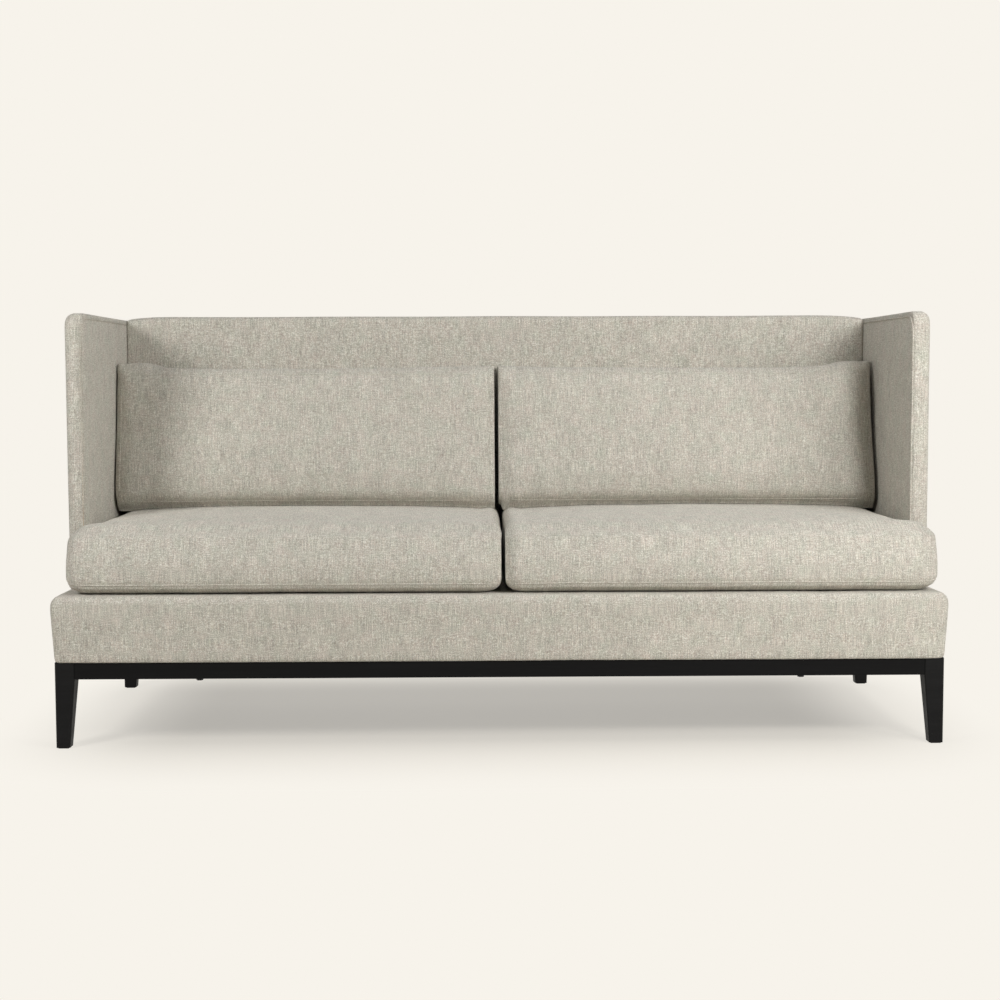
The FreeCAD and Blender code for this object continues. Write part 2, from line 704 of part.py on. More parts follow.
def cross_rail(grow):
    """The stand's middle rail with its tenons, or with grow the room it takes."""
    y0 = LEG_FRONT + STAND_RAIL_SETBACK + STAND_RAIL_THICK
    y1 = LEG_REAR - STAND_RAIL_SETBACK - STAND_RAIL_THICK
    half = STAND_RAIL_THICK / 2
    bottom = STAND_HEIGHT - CROSS_RAIL_DEEP
    z_mid = STAND_HEIGHT - CROSS_RAIL_DEEP / 2
    tenon_half = TENON_THICK / 2 + grow
    tall = CROSS_RAIL_DEEP / 2 - TENON_THICK / 2 + grow
    reach = CROSS_TENON_LONG + grow
    tenons = box(-tenon_half, tenon_half, y0 - reach, y1 + reach, z_mid - tall, z_mid + tall)
    return joined([box(-half, half, y0, y1, bottom, STAND_HEIGHT), tenons])


def bolt_places():
    """Where the bolts stand: near both ends of the front and rear rails."""
    from_middle = LEG_OUT - LEG_TOP - BOLT_FROM_LEG
    front = (LEG_FRONT + STAND_RAIL_SETBACK + FRAME_FRONT + SEAT_RAIL_THICK) / 2
    rear_low = max(LEG_REAR - STAND_RAIL_SETBACK - STAND_RAIL_THICK, FRAME_REAR - SEAT_RAIL_THICK)
    rear_high = min(LEG_REAR - STAND_RAIL_SETBACK, FRAME_REAR)
    rear = (rear_low + rear_high) / 2
    return [(sign * from_middle, y) for y in (front, rear) for sign in SIDES.values()]


def bolt(x, y):
    """A bolt with its hexagonal head against the rail's underside."""
    around = BOLT_HEAD_ACROSS / math.sqrt(3)
    points = []
    for corner in range(7):
        turn = math.pi / 3 * corner
        points.append(V(x + around * math.cos(turn), y + around * math.sin(turn), STAND_RAIL_BOTTOM))
    head = Part.Face(Part.makePolygon(points)).extrude(V(0, 0, -BOLT_HEAD_TALL))
    return joined([head, rod(BOLT_RADIUS, STAND_RAIL_BOTTOM, STAND_HEIGHT + BOLT_REACH, x, y)])


def glide_pin(x, y, grow):
    """A glide's square pin, or with grow the hole it is driven into."""
    half = GLIDE_PIN_HALF + grow
    top = GLIDE_THICK + GLIDE_PIN_LONG + grow
    return box(x - half, x + half, y - half, y + half, GLIDE_THICK - OVERCUT, top)


def make_stand():
    """Tapered legs with mortises, the rails tenoned into them, the cross rail, glides and bolts."""
    nodes = {}
    rails = {
        "stand_rail_front": long_rail(-1, 0.0),
        "stand_rail_rear": long_rail(1, 0.0),
        "stand_rail_left": side_rail(-1, 0.0),
        "stand_rail_right": side_rail(1, 0.0),
    }
    mortises = [long_rail(-1, FIT), long_rail(1, FIT), side_rail(-1, FIT), side_rail(1, FIT)]
    glides = []
    foot = GLIDE_THICK
    for name, sign in SIDES.items():
        for end, way in (("front", -1), ("rear", 1)):
            squares = [
                leg_square(sign, way, LEG_FOOT, foot),
                leg_square(sign, way, LEG_TOP, STAND_RAIL_BOTTOM),
                leg_square(sign, way, LEG_TOP, STAND_HEIGHT),
            ]
            leg = faceted(squares)
            for mortise in mortises:
                leg = leg.cut(mortise)
            x = sign * (LEG_OUT - LEG_FOOT / 2)
            y = LEG_FRONT + LEG_FOOT / 2 if way < 0 else LEG_REAR - LEG_FOOT / 2
            leg = leg.cut(glide_pin(x, y, FIT))
            glide = box(x - GLIDE_HALF, x + GLIDE_HALF, y - GLIDE_HALF, y + GLIDE_HALF, 0, foot)
            glides.append(joined([glide, glide_pin(x, y, 0.0)]))
            nodes["leg_" + end + "_" + name] = leg
    cross_room = cross_rail(FIT)
    for name in ("stand_rail_front", "stand_rail_rear"):
        rails[name] = rails[name].cut(cross_room)
    nodes.update(rails)
    nodes["stand_cross_rail"] = cross_rail(0.0)
    nodes["leg_glides"] = Part.makeCompound(glides)
    nodes["stand_bolts"] = Part.makeCompound([bolt(x, y) for x, y in bolt_places()])
    return nodes


def cushion_block(x0, x1, y0, y1, skin, crown):
    """A seat block: rounded underside, rounded top edges, a long waterfall front and maybe a crown.

    With a skin it is the hidden form inside, with fewer steps and its corners cut off straight.
    """
    hidden = skin > 0
    lower = SEAT_LOWER_EDGE - skin
    upper = SEAT_UPPER_EDGE - skin
    run = WATERFALL_RUN - skin
    drop = WATERFALL_DROP - skin
    bottom = SEAT_BOTTOM + skin
    shoulder = SEAT_SHOULDER - skin
    levels = []
    for turn in quarter(1 if hidden else 2):
        inset = lower * (1 - math.sin(turn))
        levels.append((bottom + lower * (1 - math.cos(turn)), inset, inset))
    for turn in quarter(2 if hidden else 4):
        depth = drop * (1 - math.sin(turn))
        levels.append((shoulder - depth, edge_inset(run, drop, depth), edge_inset(upper, upper, depth)))
    drawn = SEAT_DRAW if hidden else 0.0
    bows = [V(0, SEAT_DRAW, 0), V(-SEAT_DRAW, 0, 0), None, V(SEAT_DRAW, 0, 0)]
    outlines = []
    for z, front, other in levels:
        left = x0 + skin + drawn + other
        right = x1 - skin - drawn - other
        ahead = y0 + skin + drawn + front
        behind = y1 - skin - other
        corner = min(SEAT_CORNER - skin, CORNER_SHARE * (right - left), CORNER_SHARE * (behind - ahead))
        corners = level_corners(left, right, ahead, behind, z)
        if hidden:
            outlines.append(cut_outline(corners, corner, NO_BOWS))
        else:
            outlines.append(rounded_loop(corners, corner, bows))
    block = faceted(outlines) if hidden else Part.makeLoft(outlines, True, True)
    if not crown:
        return block
    edges = (x0 + skin + upper, x1 - skin - upper, y0 + skin + run, y1 - skin - upper)
    return block.fuse(seat_crown(*edges, shoulder, SEAT_CORNER - skin))


def seat_crown(x0, x1, y0, y1, z, corner):
    """The low dome on a seat block, in flat facets from its shoulder up to the flat in its middle."""
    middle_x = (x0 + x1) / 2
    middle_y = (y0 + y1) / 2
    half_x = (x1 - x0) / 2 - SEAT_DRAW
    half_y = (y1 - y0) / 2 - SEAT_DRAW
    outlines = []
    for share in SEAT_CROWN_SHARES:
        reach_x = half_x - share * (half_x - SEAT_CROWN_FLAT)
        reach_y = half_y - share * (half_y - SEAT_CROWN_FLAT)
        rise = SEAT_CROWN * (1 - (1 - share) ** 2)
        x_limits = (middle_x - reach_x, middle_x + reach_x)
        y_limits = (middle_y - reach_y, middle_y + reach_y)
        outlines.append(cut_outline(level_corners(*x_limits, *y_limits, z + rise), corner, NO_BOWS))
    return faceted(outlines)


def seat_limits(sign):
    """X of a seat cushion's inner side, its side along the wing, and its ear's outer side."""
    inner = SEAT_SHIFT + sign * SEAT_GAP / 2
    along_wing = sign * (WING_IN - SOFT_CLEAR)
    ear = sign * (WING_IN + SEAT_EAR) + SEAT_SHIFT
    return inner, along_wing, ear


def seat_form(sign, skin):
    """A T-shaped seat cushion: the block between the wings, and the ear in front of its wing."""
    inner, along_wing, ear = seat_limits(sign)
    x0, x1 = sorted((inner, along_wing))
    body = cushion_block(x0, x1, SEAT_FRONT, SEAT_REAR, skin, True)
    e0, e1 = sorted((along_wing - sign * EAR_ROOT, ear))
    ear_rear = WING_FRONT - SOFT_CLEAR
    lump = cushion_block(e0, e1, SEAT_FRONT + EAR_STEP, ear_rear, skin, False)
    return body.fuse(lump)


def back_cushion_limits(name):
    """X of a back cushion's two sides: both are as wide as the room over the right seat cushion allows."""
    right_x0 = seat_limits(-1)[0] + LIFT_CLEAR
    width = WING_IN - BACK_CUSHION_RIGHT_AIR - right_x0
    x0 = -WING_IN + BACK_CUSHION_LEFT_AIR if name == "left" else right_x0
    return x0, x0 + width


def back_section(x, inset, crown, rear_crown, dip):
    """A back cushion's corners and bows at x: its front slouches back, and its foot is flat on the seat."""
    foot = SEAT_TOP + LAY_GAP
    head = foot + BACK_CUSHION_TALL - dip
    rear_head = BACK_FRONT - SOFT_CLEAR
    rear_foot = rear_head - BACK_CUSHION_LEAN
    front_foot = rear_foot - BACK_CUSHION_FOOT
    front_head = rear_head - BACK_CUSHION_HEAD
    corners = [
        V(x, front_foot + inset, foot + inset),
        V(x, front_head + inset, head - inset),
        V(x, rear_head - inset, head - inset),
        V(x, rear_foot - inset, foot + inset),
    ]
    return corners, [V(0, -BACK_CUSHION_SLOUCH - crown, 0), None, V(0, rear_crown, 0), None]


def back_cushion_form(name, skin):
    """A boxed back cushion, fullest in the middle, its top drawn down between its corners.

    With a skin it is the hidden form inside, with its corners cut off straight.
    """
    hidden = skin > 0
    x0, x1 = back_cushion_limits(name)
    edge = BACK_CUSHION_EDGE
    crown_run = BACK_CUSHION_CROWN_RUN - edge
    full = (BACK_CUSHION_CROWN, BACK_CUSHION_REAR_CROWN, BACK_CUSHION_DRAW)
    sections = [(x0 + skin, (edge + skin, 0.0, 0.0, 0.0))]
    for share in BACK_CROWN_SHARES:
        fullness = 1 - (1 - share) ** 2
        swells = [fullness * swell for swell in full]
        sections.append((x0 + skin + edge + share * crown_run, (skin, *swells)))
    sections += [(x0 + x1 - x, shape) for x, shape in reversed(sections)]
    make = cut_outline if hidden else rounded_loop
    outlines = []
    for x, shape in sections:
        corners, bows = back_section(x, *shape)
        outlines.append(make(corners, BACK_CUSHION_CORNER, bows))
    return faceted(outlines) if hidden else Part.makeLoft(outlines, True, True)


def zip_pieces(length):
    """A zip along X with the cover's outer surface at y 0: tape and chain, window, pocket and slider."""
    behind = -FABRIC - ZIP_TAPE_THICK - LAY_GAP
    half_long = length / 2
    tape_half = ZIP_TAPE_WIDE / 2
    chain_back = behind + ZIP_TAPE_THICK
    tape = box(-half_long, half_long, behind, chain_back, -tape_half, tape_half)
    chain_half = ZIP_CHAIN_WIDE / 2
    chain_reach = half_long - ZIP_WINDOW
    chain = box(-chain_reach, chain_reach, chain_back, ZIP_CHAIN_PROUD, -chain_half, chain_half)
    window = box(
        -chain_reach - LAY_GAP,
        chain_reach + LAY_GAP,
        -FABRIC - OVERCUT,
        OVERCUT,
        -ZIP_WINDOW / 2,
        ZIP_WINDOW / 2,
    )
    pocket_half = tape_half + LAY_GAP
    pocket_long = half_long + LAY_GAP
    pocket = box(-pocket_long, pocket_long, behind - LAY_GAP, OVERCUT, -pocket_half, pocket_half)
    plate_low = ZIP_CHAIN_PROUD + LAY_GAP
    plate_high = plate_low + SLIDER_PLATE
    half_wide = SLIDER_WIDE / 2
    slider = [box(0, SLIDER_LONG, plate_low, plate_high, -half_wide, half_wide)]
    flange_in = chain_half + LAY_GAP
    flange_out = ZIP_WINDOW / 2 - LAY_GAP
    for way in (-1, 1):
        low, high = sorted((way * flange_in, way * flange_out))
        slider.append(box(0, SLIDER_LONG, chain_back + LAY_GAP, plate_low, low, high))
    pull_x = SLIDER_LONG / 2 - PULL_WIDE / 2
    pull_top = plate_high + PULL_THICK
    slider.append(box(pull_x, pull_x + PULL_WIDE, plate_high, pull_top, -PULL_LONG, 0))
    return joined([tape, chain]), window, pocket, joined(slider), chain_reach


def set_zip(shape, x, y, z, turn):
    """A zip's piece turned about X and moved to its place on a cushion."""
    placed = shape.copy()
    placed.rotate(V(0, 0, 0), V(1, 0, 0), turn)
    placed.translate(V(x, y, z))
    return placed


def zipped(cover, fill, x0, x1, y, z, turn):
    """A cover with its zip: the window in the cover, the pocket in the filling, tape and slider."""
    tape, window, pocket, slider, reach = zip_pieces(x1 - x0 - 2 * ZIP_MARGIN)
    x = (x0 + x1) / 2
    cover = cover.cut(set_zip(window, x, y, z, turn))
    fill = fill.cut(set_zip(pocket, x, y, z, turn))
    slider_x = x - reach + LAY_GAP
    return cover, fill, set_zip(tape, x, y, z, turn), set_zip(slider, slider_x, y, z, turn)


def make_cushions():
    """Both seat cushions and both back cushions, each a cover, a filling, a zip and its slider."""
    nodes = {}
    core_skin = FABRIC + LAY_GAP
    for name, sign in SIDES.items():
        cover = seat_form(sign, 0.0).cut(seat_form(sign, FABRIC))
        fill = seat_form(sign, core_skin)
        x0, x1 = sorted(seat_limits(sign)[:2])
        zip_z = SEAT_BOTTOM + SEAT_ZIP_UP
        cover, fill, tape, slider = zipped(cover, fill, x0, x1, SEAT_REAR, zip_z, 0)
        nodes["seat_cushion_cover_" + name] = cover
        nodes["seat_cushion_foam_" + name] = fill
        nodes["seat_cushion_zip_" + name] = tape
        nodes["seat_zip_slider_" + name] = slider
        cover = back_cushion_form(name, 0.0).cut(back_cushion_form(name, FABRIC))
        fill = back_cushion_form(name, core_skin)
        x0, x1 = back_cushion_limits(name)
        zip_y = BACK_FRONT - SOFT_CLEAR - BACK_CUSHION_LEAN - BACK_ZIP_FROM_FOOT
        foot = SEAT_TOP + LAY_GAP
        cover, fill, tape, slider = zipped(cover, fill, x0, x1, zip_y, foot, -90)
        nodes["back_cushion_cover_" + name] = cover
        nodes["back_cushion_fill_" + name] = fill
        nodes["back_cushion_zip_" + name] = tape
        nodes["back_zip_slider_" + name] = slider
    return nodes


def drill_for_bolts(nodes):
    """Round holes for the bolts through the rails, and a square cut in the cover's hem round each."""
    reach = BOLT_RADIUS + BOLT_CLEAR
    foot = STAND_RAIL_BOTTOM - OVERCUT
    top = STAND_HEIGHT + BOLT_REACH + BOLT_CLEAR
    for x, y in bolt_places():
        hole = rod(reach, foot, top, x, y)
        for name in nodes:
            if name in ("stand_rail_front", "stand_rail_rear", "seat_rail_front", "seat_rail_rear"):
                nodes[name] = nodes[name].cut(hole)
        square = box(x - reach, x + reach, y - reach, y + reach, foot, top)
        nodes["base_cover"] = nodes["base_cover"].cut(square)


def stand_posts(nodes):
    """Posts, their mortises in the seat rails, and the slits that they pass in the base's soft layers."""
    for name, (x0, x1, y0, y1, top) in make_posts().items():
        nodes[name] = post(x0, x1, y0, y1, top)
        mortise = post_tenon(x0, x1, y0, y1, FIT)
        for rail in ("seat_rail_left", "seat_rail_right", "seat_rail_rear"):
            nodes[rail] = nodes[rail].cut(mortise)
        low, high = sorted((x0, x1))
        slit = box(
            low - LAY_GAP,
            high + LAY_GAP,
            y0 - LAY_GAP,
            y1 + LAY_GAP,
            FRAME_TOP,
            BASE_TOP + OVERCUT,
        )
        for passed in ("deck_pad", "base_cover", "base_padding"):
            nodes[passed] = nodes[passed].cut(slit)
        side = name.split("_")[-1]
        if side in SIDES:
            padding = "wing_padding_" + side
            nodes[padding] = nodes[padding].cut(nodes[name])


def main():
    nodes = {}
    nodes.update(make_stand())
    nodes.update(make_seat_frame())
    nodes.update(make_seat_webbing())
    nodes.update(make_base())
    nodes.update(make_wings())
    nodes.update(make_back())
    stand_posts(nodes)
    drill_for_bolts(nodes)
    nodes.update(make_cushions())
    os.makedirs("parts", exist_ok=True)
    for name, shape in nodes.items():
        shape.exportStep("parts/" + name + ".step")


main()
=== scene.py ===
"""Dining sofa: its visible shapes, its materials, and the light, floor and camera around it. Metres, Z up."""

import math

import bmesh
import bpy
import numpy as np
from mathutils import Matrix, Vector, noise
from mathutils.bvhtree import BVHTree


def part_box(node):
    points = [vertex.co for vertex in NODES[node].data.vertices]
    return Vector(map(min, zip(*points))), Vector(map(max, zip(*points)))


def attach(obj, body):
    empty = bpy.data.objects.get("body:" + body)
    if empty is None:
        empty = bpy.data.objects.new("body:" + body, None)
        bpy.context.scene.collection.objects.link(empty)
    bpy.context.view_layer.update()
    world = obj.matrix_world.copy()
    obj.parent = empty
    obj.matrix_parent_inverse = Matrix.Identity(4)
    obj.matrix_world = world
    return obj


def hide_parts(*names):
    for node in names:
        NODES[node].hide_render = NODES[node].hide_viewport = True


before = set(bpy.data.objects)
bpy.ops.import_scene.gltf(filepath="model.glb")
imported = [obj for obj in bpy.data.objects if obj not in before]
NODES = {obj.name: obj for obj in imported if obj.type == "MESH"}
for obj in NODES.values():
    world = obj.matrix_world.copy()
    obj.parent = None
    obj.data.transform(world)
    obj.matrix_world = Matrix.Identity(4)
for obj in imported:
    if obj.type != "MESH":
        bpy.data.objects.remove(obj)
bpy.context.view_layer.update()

SIDES = {"left": -1, "right": 1}
MM = 0.001

# Camera, as it stood for the photograph.
CAMERA_PLACE = Vector((-0.0558, -3.9407, 0.809))
CAMERA_YAW = 0.0152
CAMERA_PITCH = 0.0746
CAMERA_ROLL = -0.003
CAMERA_LENS = 59.4
CAMERA_SENSOR = 36
CAMERA_FAR = 60

# Cell sizes of the soft meshes, before they are subdivided.
CELL_BASE = 9 * MM
CELL_WING = 6 * MM
CELL_BACK = 8 * MM
CELL_SEAT = 9 * MM
CELL_PILLOW = 8 * MM
SAME_POINT = 1e-5
WAVE_SIZE = 0.14

# How far the sides of the base stand proud, and how deep the dust sheet lies in its underside.
BASE_PROUD = Vector((1.5 * MM, 1 * MM, 0))
DUST_RECESS = 6 * MM

# Where the seat cushions pass between the wings, where the inside back begins, how high the seat seams run,
# and how much room the seats leave or are pressed by at each end.
EAR_REAR = -0.2215
WING_WALL = 0.932
BACK_FACE = 0.2545
SEAM_RISE = 21 * MM
SEAT_GAP_PRESS, SEAT_OUTER_SLACK, SEAT_REAR_SLACK = 5 * MM, 4 * MM, 3 * MM

# How deep each wing's seam sinks and how thick its ridge is: the left one was pulled flatter.
WING_SEAM = {"left": (0.5 * MM, 0.9 * MM), "right": (1.4 * MM, 1.9 * MM)}

# The same for the cushions' seams.
SEAT_SEAM = (2.4 * MM, 1.8 * MM)
PILLOW_SEAM = (1.3 * MM, 1.0 * MM)

# Where a back cushion's seams run: in from its ends and down from its top, and up from its foot.
PILLOW_SEAM_PLACE = {"front": (12 * MM, 18 * MM), "rear": (10 * MM, 10 * MM)}
PILLOW_SEAM_FOOT = 11 * MM

# A wing's seam: its bend at the top corner, how far it runs below the top and behind the front,
# how far above the foot it starts, and where the dip and the stitches lie beside it.
WING_SEAM_BEND, WING_SEAM_DROP, WING_SEAM_EDGE, WING_SEAM_START = 30 * MM, 11 * MM, 4 * MM, 12 * MM
WING_SEAM_TURNS = 8
WING_SEAM_DIP = Vector((0, 4.5 * MM, -3 * MM))
WING_STITCHES = Vector((0, 4.2 * MM, -2.5 * MM))

# Seams of all kinds: how far the dip beside them reaches, and the distance between their points.
ROUND_SEAM_REACH, WING_SEAM_REACH = 4.5 * MM, 3.5 * MM
ROUND_SEAM_STEP, WING_SEAM_STEP = 9 * MM, 6 * MM

# How uneven the cloth lies: how wide the waves are, how deep, and where their noise is read.
BASE_RIPPLE = (0.16, 1.6 * MM, 3.0)
WING_RIPPLE = (0.2, 0.8 * MM, 5.0)
BACK_RIPPLE = (0.25, 1.4 * MM, 11.0)
SEAT_RIPPLE = (0.19, 2.0 * MM, 17.0)
PILLOW_RIPPLE = (0.17, 2.4 * MM, 23.0)

# How far pieces are flattened, in mm, at their low and at their high X, Y and Z sides.
NO_PRESS = (0, 0, 0)
BASE_PRESS = ((0, 0, 6), (0, 9, 0))
WING_PRESS = ((0, 0, 4), (0, 8, 0))
BACK_PRESS = ((4, 0, 4), (4, 8, 0))
SEAT_FOOT_PRESS, SEAT_REAR_PRESS = 2.5, 3
PILLOW_OUTER_PRESS, PILLOW_INNER_PRESS = 5, 9
PILLOW_FOOT_PRESS, PILLOW_REAR_PRESS, PILLOW_TOP_PRESS = 8, 1, 3

# Radii of corners, as the simulation leaves them and as they should be.
WING_FRONT_CORNER = (9 * MM, 26 * MM)
SEAT_GAP_CORNER = (50 * MM, 24 * MM)
SEAT_FOOT_EDGE = (14 * MM, 6 * MM)
PILLOW_TOP_CORNER = (26 * MM, 10 * MM)
PILLOW_FOOT_CORNER = (22 * MM, 9 * MM)

# How cushions are blown up: pressure, the farthest that a point may go, and the share kept along each axis.
SEAT_PUFF = (4.0, 9 * MM, (0.3, 0.5, 0.35))
PILLOW_PUFF = (4.0, 14 * MM, (0.2, 0.6, 0.2))
SIMULATED_FRAMES = 20

# Back cushions: how the front leans back, and how far each outer end narrows beside its wing.
LEAN_FOOT, LEAN_TOP, LEAN_BACK = 0.56, 0.80, 50 * MM
NARROWING = {"left": (120 * MM, 0.03, 0.03), "right": (80 * MM, 0.05, 0.24)}
SETTLE_REACH, SETTLE_MOST = 70 * MM, 14 * MM
SETTLE_START, SETTLE_GAP = 0.1, 0.4 * MM
FOOT_TUCK, FOOT_REACH = 32 * MM, 34 * MM

# Their top corner beside the wing: how far it rises, over what width, and the most that it may rise.
CORNER_RISE, CORNER_WIDTH = 11 * MM, 48 * MM
CORNER_MOST, CORNER_FADE = 12 * MM, 170 * MM

# How far a seat cushion's lower edge stands off the deck, how deep that gap reaches in, and how high up.
EDGE_LIFT, EDGE_REACH, EDGE_HEIGHT = 6 * MM, 38 * MM, 14 * MM

# Colours as the eye reads them, 0 to 255.
CLOTH_LIGHT = (213, 211, 205)
CLOTH_WARM = (201, 190, 180)
CLOTH_COOL = (185, 189, 174)
BACKDROP = (247, 243, 235)
FLOOR = (243, 239, 231)
STAIN, STAIN_LIGHT = (13, 13, 14), (21, 21, 22)
# The rail's black: the legs' stain made darker, as painted shade.
RAIL_SHADED_STAIN, RAIL_SHADED_STAIN_LIGHT = (7, 7, 8), STAIN
WEBBING, WEBBING_STRIPE = (120, 110, 94), (62, 56, 48)

# How far the floor's own shading is shown to the camera: full inside this half size, gone beyond the fade.
SHADOW_HALF = (0.68, 0.26)
SHADOW_FADE = 0.5
SHADOW_SHARE = 0.54
FLOOR_REACH = 14.0

# Each lamp's place, aim, size and power.
WORLD_LIGHT = 0.03
WORLD_COLOUR = (255, 250, 242)
LAMP_COLOUR = (255, 253, 249)
LAMPS = {
    "key": ((1.27, -1.75, 1.30), (0.3, 0.0, 0.6), 0.35, 15),
    "right": ((2.6, -2.4, 1.6), (0.2, 0.0, 0.6), 1.6, 30),
    "left": ((-1.75, -1.5, 1.45), (-0.3, 0.0, 0.6), 0.55, 18.5),
    "behind": ((-0.4, 3.4, 1.1), (0.0, 0.3, 0.6), 2.0, 34),
    "above": ((0.0, -0.3, 3.2), (0.0, 0.0, 0.2), 2.0, 11),
    "above_right": ((1.6, -1.2, 2.8), (0.2, 0.0, 0.4), 1.2, 11),
}


def linear(rgb):
    """A colour of 0 to 255 as the linear colour that a shader takes."""
    parts = [c / 255 for c in rgb]
    return tuple(p / 12.92 if p <= 0.04045 else ((p + 0.055) / 1.055) ** 2.4 for p in parts) + (1.0,)


class Graph:
    """A material and its nodes."""

    def __init__(self, name):
        self.material = bpy.data.materials.new(name)
        self.material.use_nodes = True
        self.tree = self.material.node_tree
        self.shader = self.tree.nodes["Principled BSDF"]
        self.out = self.tree.nodes["Material Output"]

    def set(self, node, values):
        for key, value in values.items():
            socket = node.inputs[key]
            if isinstance(value, bpy.types.NodeSocket):
                self.tree.links.new(value, socket)
            else:
                socket.default_value = value

    def add(self, kind, values=None, **settings):
        node = self.tree.nodes.new("ShaderNode" + kind)
        for key, value in settings.items():
            setattr(node, key, value)
        self.set(node, values or {})
        return node

    def maths(self, how, a, b=0.0, c=0.0):
        node = self.add("Math", operation=how)
        self.set(node, {0: a, 1: b, 2: c})
        return node.outputs[0]

    def fit(self, value, low, high, to_low=0.0, to_high=1.0):
        values = {"Value": value, "From Min": low, "From Max": high, "To Min": to_low, "To Max": to_high}
        return self.add("MapRange", values).outputs["Result"]

    def mix(self, share, a, b, blend="MIX"):
        node = self.add("Mix", data_type="RGBA", blend_type=blend)
        self.set(node, {0: share, 6: a, 7: b})
        return node.outputs[2]

    def noise(self, vector, scale, detail=2.0, rough=0.5):
        values = {"Vector": vector, "Scale": scale, "Detail": detail, "Roughness": rough}
        return self.add("TexNoise", values).outputs[0]

    def join(self, x, y, z=0.0):
        return self.add("CombineXYZ", {0: x, 1: y, 2: z}).outputs[0]

    def stretched(self, u, v, scale_u, scale_v, seed):
        return self.join(self.maths("MULTIPLY", u, scale_u), self.maths("MULTIPLY", v, scale_v), seed)

    def split(self, vector):
        return self.add("SeparateXYZ", {0: vector}).outputs

    def place(self):
        return self.add("TexCoord").outputs["Object"]

    def bump(self, height, strength, distance):
        values = {"Height": height, "Strength": strength, "Distance": distance}
        return self.add("Bump", values).outputs[0]

    def wave(self, value, pitch):
        return self.maths("SINE", self.maths("MULTIPLY", value, 2 * math.pi / pitch))

    def flat_place(self):
        """Two distances measured along the cloth, whichever way the surface faces."""
        x, y, z = self.split(self.place())
        facing = self.split(self.add("NewGeometry").outputs["Normal"])
        sideways = self.maths("GREATER_THAN", self.maths("ABSOLUTE", facing[0]), 0.7)
        upward = self.maths("GREATER_THAN", self.maths("ABSOLUTE", facing[2]), 0.7)
        across = self.maths("ADD", x, self.maths("MULTIPLY", sideways, self.maths("SUBTRACT", y, x)))
        along = self.maths("ADD", z, self.maths("MULTIPLY", upward, self.maths("SUBTRACT", y, z)))
        return across, along


def cloth_material(name, light, warm, cool, seed):
    """Flat-woven upholstery: crossing slubbed yarns in warm and cool tones, with a faint diagonal rib, and
    painted light that makes faces turned upwards paler.
    """
    g = Graph(name)
    u, v = g.flat_place()
    place = g.add("VectorMath", {0: g.place(), 1: (seed, seed * 0.7, seed * 1.3)}, operation="ADD").outputs[0]
    across_yarn, along_weft, along_warp = 520, 45, 28
    weft = g.noise(g.stretched(u, v, along_weft, across_yarn, seed), 1.0, 1.0)
    warp = g.noise(g.stretched(u, v, across_yarn, along_warp, seed + 9), 1.0, 1.0)
    fleck = g.noise(place, 470.0, 2.0, 0.6)
    patch = g.noise(place, 34.0, 2.0)
    drift = g.noise(g.stretched(u, v, 26, 7, seed), 1.0, 2.0)
    tone = g.fit(g.maths("ADD", fleck, g.maths("MULTIPLY", patch, 0.65)), 0.625, 1.025)
    colour = g.mix(tone, linear(warm), linear(cool))
    colour = g.mix(g.fit(fleck, 0.42, 0.66), colour, linear(light))
    yarns = g.maths("ADD", weft, g.maths("MULTIPLY", warp, 1.5))
    shade = g.maths("ADD", g.fit(yarns, 0.9, 1.6, -0.21, 0.21), g.fit(fleck, 0.3, 0.7, -0.24, 0.24))
    shade = g.maths("ADD", shade, g.fit(drift, 0.3, 0.7, 0.95, 1.05))
    # Painted light: faces turned upwards are painted up to a tenth lighter, so the tops read paler than the
    # sides.
    upward = g.split(g.add("NewGeometry").outputs["Normal"])[2]
    shade = g.maths("MULTIPLY", shade, g.fit(upward, 0.6, 1.0, 1.0, 1.1))
    colour = g.mix(1.0, colour, g.add("CombineColor", {0: shade, 1: shade, 2: shade}).outputs[0], "MULTIPLY")
    rib_pitch, yarn_pitch = 3.4 * MM, 1.7 * MM
    rib = g.wave(g.maths("SUBTRACT", u, v), rib_pitch)
    weave = g.maths("MULTIPLY", g.wave(u, yarn_pitch), g.wave(v, yarn_pitch))
    height = g.maths("ADD", g.maths("MULTIPLY", weave, 0.3), g.maths("MULTIPLY", rib, 0.15))
    height = g.maths("ADD", height, g.maths("MULTIPLY", yarns, 1.1))
    height = g.maths("ADD", height, g.maths("MULTIPLY", fleck, 0.8))
    g.set(g.shader, {
        "Base Color": colour,
        "Roughness": 0.92,
        "Specular IOR Level": 0.15,
        "Sheen Weight": 0.25,
        "Sheen Roughness": 0.5,
        "Normal": g.bump(height, 0.5, 0.5 * MM),
    })
    return g.material


def wood_material(name, dark, light, rough, grain=1.0, turn=0, shine=0.4):
    """Wood with grain along one axis, given by its number, and fine pores."""
    g = Graph(name)
    scale = [38.0, 38.0, 38.0]
    scale[turn] = 2.4
    place = g.add("Mapping", {"Vector": g.place(), "Scale": scale}).outputs[0]
    rings = g.noise(place, 1.0, 4.0, 0.6)
    pores = g.noise(g.add("Mapping", {"Vector": place, "Scale": (9, 9, 9)}).outputs[0], 1.0, 2.0)
    tone = g.fit(g.maths("ADD", rings, g.maths("MULTIPLY", pores, 0.4)), 0.55, 0.85)
    colour = g.mix(tone, linear(dark), linear(light))
    height = g.maths("ADD", rings, g.maths("MULTIPLY", pores, 0.6))
    g.set(g.shader, {
        "Base Color": colour,
        "Roughness": g.fit(rings, 0.3, 0.7, rough - 0.06, rough + 0.08),
        "Specular IOR Level": shine,
        "Normal": g.bump(height, 0.25 * grain, 0.3 * MM),
    })
    return g.material


